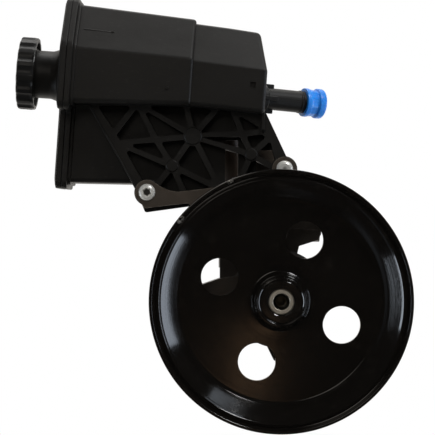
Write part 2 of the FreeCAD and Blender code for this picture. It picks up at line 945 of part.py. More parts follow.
def make_rotor():
    """Slotted rotor on the shaft's rear end."""
    gap = size("running_gap")
    front = stack_front("cam_ring") + gap
    thickness = size("cam_ring_thickness") - gap * 2
    outer = size("cam_short_radius") - size("rotor_gap")
    slot = size("vane_thickness") / 2 + gap
    body = new_body("rotor")
    pad(body, "rotor_disc", "front", front, thickness, circle_at((0, 0), outer))
    pocket(body, "rotor_bore", "front", front - 1, thickness + 2,
           circle_at((0, 0), size("shaft_radius")))
    floor = vane_root() - gap
    cut = pocket(body, "vane_slot", "front", front - 1, thickness + 2,
                 lambda sketch: draw_outline(sketch, [
                     (floor, -slot), (outer + 1, -slot), (outer + 1, slot), (floor, slot)]))
    doc.recompute()
    polar_copies(body, cut, "Y_Axis", size("vane_count"))
    return body


def vane_root():
    """Inner end of a vane that rides at the oval's narrow part."""
    return size("cam_short_radius") - size("rotor_gap") / 2 - size("vane_height")


def make_vane(index):
    """One vane, turned to its slot."""
    count = int(number("vane_count"))
    turn = FreeCAD.Rotation(V(0, 1, 0), 360.0 * index / count)
    body = new_body("vane_%02d" % (index + 1), FreeCAD.Placement(V(0, 0, 0), turn))
    gap = size("running_gap") * 2
    half = size("vane_thickness") / 2
    root = vane_root()
    tip = root + size("vane_height")
    pad(body, "vane_blade_%02d" % (index + 1), "front", stack_front("cam_ring") + gap,
        size("cam_ring_thickness") - gap * 2,
        lambda sketch: draw_outline(sketch, [
            (root, -half), (tip - 0.3, -half), (tip, -half + 0.4), (tip, half - 0.4),
            (tip - 0.3, half), (root, half)]))
    return body


def make_dowel_pin(label, sign):
    front = stack_front("thrust_plate") + 1
    length = stack_front("cover_spring") - front - 1
    body = new_body(label)
    pad(body, label + "_rod", "front", front, length,
        circle_at((0, sign * size("dowel_circle")), size("dowel_radius")))
    return body


def make_cover_spring():
    """Coned spring washer between pressure plate and end cover."""
    front = stack_front("cover_spring")
    back = stack_front("end_cover")
    sheet_size = size("cover_spring_sheet")
    body = new_body("pressure_plate_spring")
    turned(body, "spring_section", [
        (size("cover_spring_bore"), front), (size("cover_spring_bore") + 1, front),
        (size("cover_spring_radius"), back - sheet_size), (size("cover_spring_radius"), back),
        (size("cover_spring_radius") - 1, back), (size("cover_spring_bore"), front + sheet_size)])
    return body


def make_end_cover():
    """Pressed steel cover with a groove for its seal ring."""
    front = stack_front("end_cover")
    back = stack_front("end")
    outer = chamber_fit()
    groove = outer - size("cover_seal_radius") * 2 + size("chamber_gap")
    middle = (front + back) / 2
    half = size("cover_seal_radius") + 0.15
    body = new_body("end_cover")
    turned(body, "cover_section", [
        (0, front), (outer, front), (outer, middle - half), (groove, middle - half),
        (groove, middle + half), (outer, middle + half), (outer, back), (outer - 6, back),
        (outer - 8, back - 1.5), (0, back - 1.5)])
    return body


def ring_about_shaft(label, level, ring_radius, wire_radius, opening=0):
    """A ring of eight-sided wire about the shaft, with an opening in degrees."""
    body = new_body(label)
    half = wire_radius * math.tan(math.radians(22.5))
    turned(body, label + "_section", [
        (ring_radius - wire_radius, level - half), (ring_radius - half, level - wire_radius),
        (ring_radius + half, level - wire_radius), (ring_radius + wire_radius, level - half),
        (ring_radius + wire_radius, level + half), (ring_radius + half, level + wire_radius),
        (ring_radius - half, level + wire_radius), (ring_radius - wire_radius, level + half)])
    bind(body.Tip, "Angle", 360 - as_size(opening))
    return body


def make_end_cover_seal():
    middle = (stack_front("end_cover") + stack_front("end")) / 2
    outer = size("chamber_radius") - size("cover_seal_radius")
    return ring_about_shaft("end_cover_seal", middle, outer, size("cover_seal_radius"))


def make_retaining_ring():
    outer = size("chamber_radius") + size("ring_groove_depth")
    return ring_about_shaft("retaining_ring", ring_place(), outer - size("ring_wire_radius") - 0.2,
                            size("ring_wire_radius"), size("ring_opening"))


# Flow valve and pressure outlet

def valve_frame():
    """A frame on the valve bore, X along it."""
    return FreeCAD.Placement(V(0, number("valve_depth"), number("valve_height")), FreeCAD.Rotation())


def make_flow_valve_spool():
    """Hollow spool with two lands."""
    front = size("spool_front")
    back = front + size("spool_length")
    outer = size("valve_bore_radius") - size("running_gap")
    waist = outer - 1.6
    hollow = outer - size("spool_wall") - 1.2
    floor = front + size("spool_head")
    body = new_body("flow_valve_spool", valve_frame())
    turned(body, "spool_section", [
        (front, 0), (front, 3.0), (front + 3, 3.0), (front + 3, outer), (floor, outer),
        (floor + 1, waist), (back - 9, waist), (back - 8, outer), (back, outer), (back, hollow),
        (floor + 2, hollow), (floor + 2, 0)], axis="H_Axis")
    return body


def make_flow_valve_spring():
    """Coil spring from the bore's end into the hollow spool."""
    wire = number("valve_wire_radius")
    coil = number("valve_bore_radius") - number("running_gap") - number("spool_wall") - 1.2
    coil = coil - wire - 0.3
    start = number("spool_front") + number("spool_head") + 2 + number("spool_travel") + 0.3
    length = number("valve_bore_end") - start - 2 * wire
    pitch = length / number("valve_spring_turns")
    corners = int(number("valve_spring_corners"))
    runs = corners * int(number("valve_spring_turns"))
    places = []
    for step in range(runs + 1):
        angle = 2 * math.pi * step / corners
        places.append(V(coil * math.cos(angle), coil * math.sin(angle), length * step / runs))
    spring = swept_wire(places, wire)
    item = doc.addObject("Part::Feature", "flow_valve_spring")
    item.Label = "flow_valve_spring"
    item.Shape = spring
    item.Placement = facing_along(valve_frame(), start + wire)
    return item


def swept_wire(places, radius):
    """A six-sided wire along straight runs, mitred where they meet."""
    faces = []
    rings = []
    for step, place in enumerate(places):
        before = places[max(step - 1, 0)]
        after = places[min(step + 1, len(places) - 1)]
        along = (after - before).normalize()
        outward = V(place.x, place.y, 0).normalize()
        upward = along.cross(outward).normalize()
        ring = []
        for corner in range(6):
            angle = math.pi * corner / 3
            ring.append(place + outward * (radius * math.cos(angle))
                        + upward * (radius * math.sin(angle)))
        rings.append(ring)
    for ring, following in zip(rings, rings[1:]):
        for corner in range(6):
            beside = (corner + 1) % 6
            for triple in ((ring[corner], ring[beside], following[beside]),
                           (ring[corner], following[beside], following[corner])):
                faces.append(Part.Face(Part.makePolygon(list(triple) + [triple[0]])))
    for ring in (rings[0], rings[-1]):
        faces.append(Part.Face(Part.makePolygon(ring + [ring[0]])))
    return Part.makeSolid(Part.makeShell(faces))


def make_pressure_fitting():
    """Hexagon outlet fitting screwed into the valve bore, with a threaded port."""
    face = size("valve_left")
    collar = face - size("fitting_collar_length")
    hexagon_end = collar - size("fitting_hex_length")
    nose = face + size("fitting_nose_length")
    port = hexagon_end + size("fitting_port_depth")
    body = new_body("pressure_fitting", valve_frame())
    flats = size("fitting_hex_flats") / 2
    corner = flats / math.cos(math.radians(30))
    half = corner / 2
    pad(body, "fitting_hexagon", "side", hexagon_end, size("fitting_hex_length"),
        lambda sketch: draw_outline(sketch, [
            (corner, 0), (half, flats), (-half, flats), (-corner, 0), (-half, -flats),
            (half, -flats)]))
    pad(body, "fitting_collar", "side", collar, face - collar,
        circle_at((0, 0), size("fitting_collar_radius")))
    pad(body, "fitting_nose", "side", face, size("fitting_nose_length"),
        circle_at((0, 0), size("valve_bore_radius")))
    turned(body, "fitting_port", [
        (hexagon_end - 1, 0), (hexagon_end - 1, size("fitting_port_radius")),
        (port, size("fitting_port_radius")), (port + 1.5, size("fitting_passage_radius")),
        (nose + 1, size("fitting_passage_radius")), (nose + 1, 0)], axis="H_Axis", cut=True)
    return body


def make_fitting_seal():
    """Sealing ring between the fitting's hexagon and the valve boss."""
    face = size("valve_left")
    collar = face - size("fitting_collar_length")
    body = new_body("pressure_fitting_seal", valve_frame())
    inner = size("fitting_collar_radius")
    outer = inner + size("fitting_seal_width")
    start = collar + size("fitting_seal_gap")
    turned(body, "fitting_seal_section", [
        (start, inner), (face, inner), (face, outer), (start, outer)], axis="H_Axis")
    return body


# Suction tube

def make_suction_tube():
    """Steel tube from the reservoir's outlet down into the housing."""
    outer = size("suction_radius")
    inner = outer - size("suction_wall")
    place = (size("suction_x"), size("suction_y"))
    length = size("suction_top") - size("suction_foot")
    body = new_body("suction_tube")
    pad(body, "suction_rod", "top", size("suction_foot"), length, circle_at(place, outer))
    pocket(body, "suction_bore", "top", size("suction_foot") - 1, length + 2,
           circle_at(place, inner))
    return body


def make_suction_seal():
    place = (size("suction_x"), size("suction_y"))
    low = size("suction_socket_low")
    body = new_body("suction_seal")
    pad(body, "suction_ring", "top", low, size("suction_seal_height"),
        circle_at(place, size("suction_seal_radius")))
    pocket(body, "suction_ring_bore", "top", low - 1, size("suction_seal_height") + 2,
           circle_at(place, size("suction_radius")))
    return body


# Reservoir

def tank_section(end, inset=0.0, grow=0.0):
    """The tank's seven-cornered section at its left end or at the step."""
    wall = as_size(inset) - grow
    front = size("tank_front") + wall
    back = size("tank_back") - wall
    shelf_y = size("tank_shelf_y") + wall
    top = size("tank_top_" + end) - wall
    fold = size("tank_fold_" + end) - wall * size("shoulder_share")
    crown = size("tank_front") + size("tank_slope_depth") + wall * size("crown_share")
    shelf = size("tank_shelf_" + end) + wall
    low = size("tank_low_" + end) + wall
    return [(shelf_y, shelf), (shelf_y, low), (back, low), (back, top), (crown, top),
            (front, fold), (front, shelf)]


def narrow_section(end, inset=0.0):
    """The section of the narrower right half, without the lower chamber."""
    wall = as_size(inset)
    step = size("tank_step")
    front = size("tank_front") + step + wall
    back = size("tank_back") - step - wall
    top = size("tank_top_" + end) - wall
    fold = size("tank_fold_" + end) - wall * size("shoulder_share")
    if end == "step":
        top = top - step
        fold = fold - 1
    crown = size("tank_front") + size("tank_slope_depth") + wall * size("crown_share")
    shelf = size("tank_shelf_" + end) + wall
    return [(back, shelf), (back, top), (crown, top), (front, fold), (front, shelf)]


def loft(body, name, first, first_level, second, second_level, cut=False):
    """Material or a cut between two sections square to the tank's length, right end first."""
    start = new_sketch(body, name + "_start", "side", first_level)
    draw_outline(start, first)
    end = new_sketch(body, name + "_end", "side", second_level)
    draw_outline(end, second)
    kind = "PartDesign::SubtractiveLoft" if cut else "PartDesign::AdditiveLoft"
    feature = body.newObject(kind, name)
    feature.Profile = end
    feature.Sections = [start]
    feature.Ruled = True
    return feature


def make_tank():
    """Hollow tank, open at its left flange, narrower past the step."""
    body = new_body("tank", tank_frame())
    wall = size("tank_wall")
    step = size("tank_step_u")
    end = size("tank_end_u")
    wide = loft(body, "wide_chamber", tank_section("left"), 0, tank_section("step"), step)
    doc.recompute()
    round_edges(body, "wide_corners", wide, long_edges(wide.Shape, V(1, 0, 0), 40.0, 0.0),
                size("tank_corner"))
    narrow = loft(body, "narrow_chamber", narrow_section("step"), step - 3,
                  narrow_section("right"), end)
    doc.recompute()
    round_edges(body, "narrow_corners", narrow,
                long_edges(narrow.Shape, V(1, 0, 0), 40.0, number("tank_step_u") - 1),
                size("tank_corner"))
    flange = tank_section("left", 0.0, size("flange_margin"))
    pad(body, "weld_flange", "side", 0.0, size("flange_thickness"),
        lambda sketch: draw_outline(sketch, flange))
    loft(body, "wide_hollow", tank_section("left", wall), -1, tank_section("step", wall),
         step - wall, cut=True)
    loft(body, "narrow_hollow", narrow_section("step", wall), step - wall - 1,
         narrow_section("right", wall), end - wall, cut=True)
    return body


def front_wire(places, level):
    """A closed outline in the front view at a depth."""
    corners = [V(across.value, level, height.value) for across, height in places]
    return Part.makePolygon(corners + [corners[0]])


def rib_window(joints):
    """The opening between the ribs that meet at the joints, its corners rounded."""
    level = number("truss_front") - 1
    depth = number("truss_back") - level + 1
    corner = number("truss_corner")
    wire = front_wire([point(name) for name in joints], level)
    sharp = wire.makeOffset2D(-number("rib_width") / 2 - corner, 2)
    rounded = sharp.makeOffset2D(corner, 0)
    return Part.Face(rounded).extrude(V(0, depth, 0))


def make_bracket_panel():
    """The open panel of ribs that the reservoir is carried by."""
    front = number("truss_front")
    depth = number("truss_back") - front
    outline = front_wire([point(name) for name in BRACKET_EDGE], front)
    panel = Part.Face(outline).extrude(V(0, depth, 0))
    for joints in RIB_WINDOWS:
        panel = panel.cut(rib_window(joints))
    for name, radius in (("big_disc", "hub_disc_radius"), ("low_disc", "small_disc_radius"),
                         ("right_disc", "small_disc_radius")):
        across, height = point(name)
        disc = Part.makeCylinder(number(radius), depth, V(across.value, front, height.value),
                                 V(0, 1, 0))
        panel = panel.fuse(disc)
    item = doc.addObject("Part::Feature", "bracket_panel")
    item.Shape = panel.removeSplitter()
    return item


def make_reservoir_body():
    """Tank, ribbed bracket, screw bosses, outlet socket and return tube in one moulding."""
    front = number("truss_front")
    tube = return_frame()
    outlet = upright(number("suction_x"), number("suction_y"), number("suction_socket_low"))
    material = [make_tank(), make_bracket_panel()]
    voids = []
    for side in ("left", "right"):
        place = facing_back(number(side + "_screw_x"), front, number(side + "_screw_z"))
        material.append(cylinder(side + "_boss", place, size("truss_boss_radius"),
                                 size("truss_boss_back") - size("truss_front")))
        voids.append(cylinder(side + "_insert_hole", place, size("insert_radius"),
                              size("insert_length")))
    material.append(cylinder("outlet_socket", outlet, size("suction_socket_radius"),
                             size("suction_socket_height")))
    material.append(cylinder("return_tube", facing_along(tube, 0), size("return_radius"),
                             size("return_length")))
    for sign in (1, -1):
        material.append(make_return_lug(tube, sign))
    voids.append(cylinder("outlet_seal_seat", outlet, size("suction_seal_radius"),
                          size("suction_seal_height")))
    voids.append(cylinder("outlet_tube_seat", outlet, size("suction_radius"),
                          size("suction_top") - size("suction_socket_low")))
    voids.append(cylinder("outlet_passage", outlet, size("suction_radius") - size("suction_wall"),
                          size("suction_socket_height") + 1))
    voids.append(cylinder("return_passage", facing_along(tube, number("return_bore_start")),
                          size("return_bore"),
                          size("return_length") - size("return_bore_start") + 1))
    return boolean("Part::Cut", "reservoir_body", fused("reservoir_solid", material),
                   fused("reservoir_voids", voids))


def make_return_lug(tube, sign):
    """Small rib at the return tube's root, above or below it."""
    lug = doc.addObject("Part::Box", "return_lug_%s" % ("upper" if sign > 0 else "lower"))
    bind(lug, "Length", size("return_lug_length"))
    bind(lug, "Width", size("return_lug_width"))
    bind(lug, "Height", size("return_lug_rise") + size("return_lug_root"))
    inner = number("return_radius") - number("return_lug_root")
    outer = number("return_radius") + number("return_lug_rise")
    base = inner if sign > 0 else -outer
    corner = V(0, -number("return_lug_width") / 2, base)
    lug.Placement = tube.multiply(FreeCAD.Placement(corner, FreeCAD.Rotation()))
    return lug


def make_reservoir_cover():
    """Welded end cover with its flange, raised panel and filler neck."""
    body = new_body("reservoir_cover", tank_frame())
    thickness = size("flange_thickness")
    dome = size("cover_dome")
    wall = size("cover_wall")
    face = -(thickness + dome)
    flange = tank_section("left", 0.0, size("flange_margin"))
    panel = tank_section("left", 0.0, 1.0)
    hollow = tank_section("left", size("tank_wall"))
    pad(body, "cover_flange", "side", -thickness, thickness,
        lambda sketch: draw_outline(sketch, flange))
    pad(body, "cover_panel", "side", face, dome + 0.5, lambda sketch: draw_outline(sketch, panel))
    radius = size("neck_radius")
    across = size("filler_y")
    turned_neck(body, "filler_neck", [
        (size("neck_top"), 0), (size("neck_top"), radius), (size("neck_flare_start"), radius),
        (size("neck_flare_start") + 4, radius + 1.6), (face, size("neck_flare_radius")),
        (face + 1, size("neck_flare_radius")), (face + 1, 0)])
    pocket(body, "cover_hollow", "side", face + wall, thickness + dome - wall + 1,
           lambda sketch: draw_outline(sketch, hollow))
    pocket(body, "neck_bore", "side", size("neck_top") - 1, 2 - size("neck_top"),
           circle_at((across, 0), size("neck_bore")))
    return body


def turned_neck(body, name, places):
    """A revolved profile about the filler's own axis, places given as (along, radius)."""
    across = size("filler_y")
    sketch = new_sketch(body, name + "_profile", "top")
    draw_outline(sketch, [(along, across + radius) for along, radius in places])
    line = sketch.addGeometry(Part.LineSegment(V(0, across.value, 0), V(10, across.value, 0)), True)
    hold_point(sketch, line, 1, (0, across))
    hold_point(sketch, line, 2, (10, across))
    feature = body.newObject("PartDesign::Revolution", name)
    feature.Profile = sketch
    feature.ReferenceAxis = (sketch, ["Axis0"])
    feature.Angle = 360
    return feature


def make_filter_screen():
    """Cup-shaped screen that stands over the outlet inside the tank."""
    outer = size("screen_radius")
    wall = size("screen_wall")
    low = number("suction_socket_low") + number("suction_socket_height")
    frame = upright(number("suction_x"), number("suction_y"), low)
    body = new_body("outlet_screen", frame)
    places = [
        (0, size("screen_height") - wall), (outer - wall, size("screen_height") - wall),
        (outer - wall, 0), (outer, 0), (outer, size("screen_height")), (0, size("screen_height"))]
    sketch = new_sketch(body, "screen_profile", "front")
    draw_outline(sketch, places)
    feature = body.newObject("PartDesign::Revolution", "screen_cup")
    feature.Profile = sketch
    feature.ReferenceAxis = (sketch, ["V_Axis"])
    feature.Angle = 360
    return body


# Filler cap

def filler_frame():
    """The filler's own frame: X along the tank, on the neck's axis."""
    return tank_frame().multiply(
        FreeCAD.Placement(V(0, number("filler_y"), 0), FreeCAD.Rotation()))


def make_filler_cap():
    """Screw cap with a scalloped grip and an inner sleeve over the neck."""
    body = new_body("filler_cap", filler_frame())
    top = size("cap_top")
    inside = top + size("cap_plate")
    outer = size("cap_radius")
    skirt = outer - size("cap_skirt_wall")
    sleeve = size("neck_radius") + size("cap_sleeve_gap")
    sleeve_outer = sleeve + size("cap_sleeve_wall")
    turned(body, "cap_section", [
        (top, 0), (top, outer - 1.6), (top + 1.2, outer), (size("cap_skirt_end"), outer),
        (size("cap_skirt_end"), skirt), (inside, skirt), (inside, sleeve_outer),
        (size("cap_sleeve_end"), sleeve_outer), (size("cap_sleeve_end"), sleeve),
        (inside, sleeve), (inside, 0)], axis="H_Axis")
    grip = size("cap_grip_radius")
    place = outer + grip - size("cap_grip_depth")
    scallop = pocket(body, "grip_scallop", "side", top - 1,
                     size("cap_skirt_end") - top + 2, circle_at((place, 0), grip))
    doc.recompute()
    polar_copies(body, scallop, "X_Axis", size("cap_grip_count"))
    return body


def make_cap_seal():
    body = new_body("cap_seal", filler_frame())
    start = size("cap_top") + size("cap_plate") + size("running_gap")
    outer = size("neck_radius")
    turned(body, "cap_seal_section", [
        (start, size("cap_seal_bore")), (start, outer), (size("neck_top"), outer),
        (size("neck_top"), size("cap_seal_bore"))], axis="H_Axis")
    return body


def make_dipstick():
    """Rod with a flattened tip, hung from the cap's centre."""
    start = size("cap_top") + size("cap_plate")
    end = size("dipstick_end")
    radius = size("dipstick_radius")
    collar = size("dipstick_collar_length")
    body = new_body("dipstick", filler_frame())
    turned(body, "dipstick_rod", [
        (start, 0), (start, radius + size("dipstick_collar")),
        (start + collar, radius + size("dipstick_collar")), (start + collar * 1.25, radius),
        (end, radius), (end + size("dipstick_point"), 0)], axis="H_Axis")
    for name, level in (("front_flat", -radius - 1), ("back_flat", size("dipstick_flat"))):
        depth = radius + 1 - size("dipstick_flat")
        pocket(body, name, "front", level, depth, lambda sketch: draw_outline(sketch, [
            (end - size("dipstick_tip"), -radius - 1), (end + 3, -radius - 1),
            (end + 3, radius + 1), (end - size("dipstick_tip"), radius + 1)]))
    return body


def make_return_dust_cap():
    """Push-on cap over the return tube, waisted, with a bead at each end."""
    body = new_body("return_dust_cap", return_frame())
    inner = size("return_radius") + size("dust_cap_gap")
    outer = inner + size("dust_cap_wall")
    bead = outer + size("dust_cap_bead")
    start = size("dust_cap_start")
    end = start + size("dust_cap_length")
    floor = end - size("dust_cap_end_wall")
    turned(body, "dust_cap_section", [
        (start, inner), (start, bead), (start + 3, bead), (start + 4.6, outer),
        (end - 6.6, outer), (end - 4.8, bead + 0.6), (end - 1, bead + 0.6), (end, bead - 0.6),
        (end, 0), (floor, 0), (floor, inner)], axis="H_Axis")
    return body


# Fasteners

def make_reservoir_screws():
    """Two pan-head screws through the arms."""
    head = size("screw_head_radius")
    height = size("screw_head_height")
    screws = []
    for side in ("left", "right"):
        place = V(number(side + "_screw_x"), 0, number(side + "_screw_z"))
        body = new_body(side + "_screw", FreeCAD.Placement(place, FreeCAD.Rotation()))
        turned(body, side + "_screw_section", [
            (0, size("screw_recess_depth") - height),
            (size("screw_recess_radius"), size("screw_recess_depth") - height),
            (size("screw_recess_radius"), -height), (head * 0.6, -height),
            (head * 0.9, height * 0.25 - height), (head, height * 0.6 - height), (head, 0),
            (size("screw_radius"), 0), (size("screw_radius"), size("screw_length") - 1),
            (size("screw_radius") - 1, size("screw_length")), (0, size("screw_length"))])
        screws.append(body)
    return grouped("reservoir_screws", screws)


def make_threaded_inserts():
    """Two metal inserts moulded into the bracket's bosses."""
    rings = []
    for side in ("left", "right"):
        place = V(number(side + "_screw_x"), 0, number(side + "_screw_z"))
        body = new_body(side + "_insert", FreeCAD.Placement(place, FreeCAD.Rotation()))
        front = size("truss_front")
        back = front + size("insert_length")
        turned(body, side + "_insert_section", [
            (size("screw_radius"), front), (size("insert_radius"), front),
            (size("insert_radius"), back), (size("screw_radius"), back)])
        rings.append(body)
    return grouped("threaded_inserts", rings)


def make_all():
    """Every piece of the pump, in the order that it is put together."""
    pieces = [
        make_pump_housing(), make_shaft_bush(), make_shaft_seal(), make_drive_shaft(),
        make_thrust_plate(), make_cam_ring(), make_rotor(), make_pressure_plate(),
        make_dowel_pin("upper_dowel_pin", 1), make_dowel_pin("lower_dowel_pin", -1),
        make_cover_spring(), make_end_cover(), make_end_cover_seal(), make_retaining_ring(),
        make_flow_valve_spool(), make_flow_valve_spring(), make_pressure_fitting(),
        make_fitting_seal(), make_suction_tube(), make_suction_seal(), make_pulley(),
        make_pulley_hub(), make_reservoir_body(), make_reservoir_cover(), make_filter_screen(),
        make_filler_cap(), make_cap_seal(), make_dipstick(), make_return_dust_cap(),
        make_reservoir_screws(), make_threaded_inserts()]
    pieces += [make_vane(index) for index in range(int(number("vane_count")))]
    return pieces


def check_document():
    """Stop if any object of the document has failed."""
    for item in doc.Objects:
        if "Invalid" in item.State or "Error" in item.State:
            raise RuntimeError("%s failed: %s" % (item.Label, item.State))


def write_parts(pieces):
    """Write each piece as its own file, once its shape is sound."""
    for piece in pieces:
        if piece.Shape.isNull() or not piece.Shape.isValid() or not piece.Shape.Solids:
            raise RuntimeError("%s has no sound shape" % piece.Label)
    os.makedirs("parts", exist_ok=True)
    for piece in pieces:
        piece.Shape.exportStep("parts/%s.step" % piece.Label)
        print("%-24s %10.1f mm3" % (piece.Label, piece.Shape.Volume))


parts = make_all()
doc.recompute()
check_document()
write_parts(parts)
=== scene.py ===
import math

import bmesh
import bpy
from mathutils import Matrix, Vector


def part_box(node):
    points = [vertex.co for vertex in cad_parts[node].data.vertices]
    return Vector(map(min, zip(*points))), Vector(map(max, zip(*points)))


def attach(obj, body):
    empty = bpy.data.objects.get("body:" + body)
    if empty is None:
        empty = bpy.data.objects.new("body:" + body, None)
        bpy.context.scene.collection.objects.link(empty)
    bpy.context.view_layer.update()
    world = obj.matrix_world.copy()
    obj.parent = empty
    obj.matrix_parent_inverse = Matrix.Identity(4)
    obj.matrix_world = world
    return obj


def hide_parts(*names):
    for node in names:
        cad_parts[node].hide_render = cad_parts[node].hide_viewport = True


# Power steering pump: belt pulley in front, pump casting behind it, and a black plastic
# fluid tank carried on a bracket of moulded ribs. Sizes are in millimetres, as the solids'.

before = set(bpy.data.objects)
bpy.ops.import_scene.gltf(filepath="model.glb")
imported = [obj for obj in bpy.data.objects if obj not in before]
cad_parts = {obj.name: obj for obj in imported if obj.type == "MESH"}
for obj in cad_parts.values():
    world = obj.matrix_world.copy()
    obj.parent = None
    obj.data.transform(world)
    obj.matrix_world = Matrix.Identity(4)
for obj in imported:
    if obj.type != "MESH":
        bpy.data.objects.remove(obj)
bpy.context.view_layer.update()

MM = 0.001
TO_METRES = Matrix.Scale(MM, 4)

# Places in millimetres and leans in degrees that several pieces share
TANK_PLACE = (-142.9, 0, 151.8)
TANK_LEAN = 4
FILLER_DEPTH = 27
RETURN_PLACE = (131, 28, -5.6)
RETURN_SWING = 22
VALVE_PLACE = (0, 30, 52)
OUTLET_ACROSS, OUTLET_DEPTH, OUTLET_FLOOR = -31.7, 44.0, 134.0
SCREW_PLACES = ((-88.9, 71.8), (3.6, 87.4))

# What counts as nothing in a length
TINY = 1e-6


# Frames: each has its X along the turned piece's own axis


def shaft_frame():
    """X runs back along the drive shaft."""
    return Matrix(((0, 1, 0, 0), (1, 0, 0, 0), (0, 0, -1, 0), (0, 0, 0, 1)))


def tank_frame():
    """X runs along the tank, Z up across it."""
    return Matrix.Translation(TANK_PLACE) @ Matrix.Rotation(math.radians(TANK_LEAN), 4, "Y")


def filler_frame():
    """X on the filler neck's axis, into the tank."""
    return tank_frame() @ Matrix.Translation((0, FILLER_DEPTH, 0))


def return_frame():
    """X out along the return tube."""
    return (tank_frame() @ Matrix.Translation(RETURN_PLACE)
            @ Matrix.Rotation(math.radians(RETURN_SWING), 4, "Z"))


def valve_frame():
    """X along the flow valve's bore."""
    return Matrix.Translation(VALVE_PLACE)


def outlet_frame(height=0.0):
    """X points straight up on the middle line of the tank's outlet."""
    return Matrix(((0, 0, -1, OUTLET_ACROSS), (0, 1, 0, OUTLET_DEPTH), (1, 0, 0, height),
                   (0, 0, 0, 1)))


def screw_frame(across, height):
    """X runs back along a screw put in from the front."""
    return Matrix.Translation((across, 0, height)) @ shaft_frame()


# Outlines


def oblong(left, right, low, high):
    """The corners of a rectangle, along its lower side first."""
    return [(left, low), (right, low), (right, high), (left, high)]


def band(start, end, inner, outer):
    """The profile of a plain ring or hole, (along, radius), up at its start first."""
    return [(start, inner), (start, outer), (end, outer), (end, inner)]


def circle(radius, steps):
    """Points of a circle about the origin."""
    return [(radius * math.cos(math.tau * step / steps),
             radius * math.sin(math.tau * step / steps)) for step in range(steps)]


def swung(first, last, sweep, share):
    """A radius part of the way round from the first to the last."""
    return (first * math.sin((1 - share) * sweep)
            + last * math.sin(share * sweep)) / math.sin(sweep)


def soften(points, radius, steps, special=None):
    """A closed outline with each corner turned into a short arc, some with their own radius."""
    flattest, sharpest, side_share = math.radians(176), math.radians(3), 0.45
    no_length, no_sweep = 1e-9, 1e-5
    special = special or {}
    places = [Vector(point) for point in points]
    count = len(places)
    result = []
    for index, corner in enumerate(places):
        before = places[index - 1] - corner
        after = places[(index + 1) % count] - corner
        wanted = special.get(index, radius)
        if wanted <= 0 or before.length < TINY or after.length < TINY:
            result.append(corner)
            continue
        angle = before.angle(after)
        if angle > flattest or angle < sharpest:
            result.append(corner)
            continue
        reach = min(wanted / math.tan(angle / 2), side_share * before.length,
                    side_share * after.length)
        start = corner + before.normalized() * reach
        end = corner + after.normalized() * reach
        bend = reach * math.tan(angle / 2)
        middle = corner + (before.normalized() + after.normalized()).normalized() * (
            bend / math.sin(angle / 2))
        first = start - middle
        last = end - middle
        sweep = 0
        if first.length > no_length and last.length > no_length:
            sweep = first.angle(last)
        for step in range(steps + 1):
            share = step / steps
            if sweep < no_sweep:
                result.append(start.lerp(end, share))
            else:
                result.append(middle + swung(first, last, sweep, share))
    return result


# How far a sharp corner may run ahead of its sides when an outline shrinks, as a cosine
SHARPEST_LEAN = 0.35


def shrunk(outline, inset):
    """An outline moved in by a distance, point for point."""
    if inset < TINY:
        return [tuple(point) for point in outline]
    places = [Vector(point) for point in outline]
    area = sum(a.x * b.y - b.x * a.y for a, b in zip(places, places[1:] + places[:1]))
    side = 1.0 if area > 0 else -1.0
    result = []
    for index, corner in enumerate(places):
        before = (corner - places[index - 1]).normalized()
        after = (places[(index + 1) % len(places)] - corner).normalized()
        inward = (Vector((-before.y, before.x)) + Vector((-after.y, after.x))) * side
        if inward.length < TINY:
            result.append(tuple(corner))
            continue
        inward.normalize()
        lean = max(inward.dot(Vector((-before.y, before.x)) * side), SHARPEST_LEAN)
        result.append(tuple(corner + inward * (inset / lean)))
    return result


# Meshes


def opened(mesh):
    """The edges and faces of a mesh, ready to be changed."""
    shape = bmesh.new()
    shape.from_mesh(mesh)
    return shape


def written(shape, mesh):
    """The changed edges and faces, written into a mesh."""
    shape.to_mesh(mesh)
    shape.free()
    return mesh


def welded(mesh, reach):
    """The mesh with points closer than this, in metres, made one, and turned outwards."""
    shape = opened(mesh)
    bmesh.ops.remove_doubles(shape, verts=shape.verts, dist=reach)
    bmesh.ops.recalc_face_normals(shape, faces=shape.faces)
    return written(shape, mesh)


# How close points lie, in millimetres, that stand for one corner before a mesh is put in place
SEAM = 1e-4


def mesh_of(name, points, faces, place):
    """A mesh from points in millimetres, put in its place, if it has one, and turned outwards."""
    shape = bmesh.new()
    corners = [shape.verts.new(point) for point in points]
    for face in faces:
        try:
            shape.faces.new([corners[index] for index in face])
        except ValueError:
            pass
    bmesh.ops.remove_doubles(shape, verts=shape.verts, dist=SEAM)
    if place is not None:
        bmesh.ops.transform(shape, matrix=place, verts=shape.verts)
    bmesh.ops.scale(shape, vec=(MM, MM, MM), verts=shape.verts)
    bmesh.ops.recalc_face_normals(shape, faces=shape.faces)
    return written(shape, bpy.data.meshes.new(name))


def turned_mesh(name, profile, place, steps, sweep=360.0):
    """A closed profile of (along, radius) spun about the frame's X."""
    points = []
    rows = []
    whole = sweep >= 360.0
    turns = steps if whole else steps + 1
    for along, radius in profile:
        if radius < TINY:
            rows.append([len(points)] * turns)
            points.append((along, 0, 0))
            continue
        row = []
        for step in range(turns):
            angle = math.radians(sweep) * step / steps
            row.append(len(points))
            points.append((along, radius * math.cos(angle), radius * math.sin(angle)))
        rows.append(row)
    faces = []
    for number, row in enumerate(rows):
        other = rows[(number + 1) % len(rows)]
        for step in range(steps):
            after = (step + 1) % turns
            face = []
            for index in (row[step], other[step], other[after], row[after]):
                if index not in face:
                    face.append(index)
            if len(face) > 2:
                faces.append(face)
    if not whole:
        faces.append([row[0] for row in rows])
        faces.append([row[-1] for row in rows])
    return mesh_of(name, points, faces, place)


def belt(level, other, count):
    """The faces between two rings of this many points, each given by its number."""
    return [[level * count + step, level * count + (step + 1) % count,
             other * count + (step + 1) % count, other * count + step] for step in range(count)]


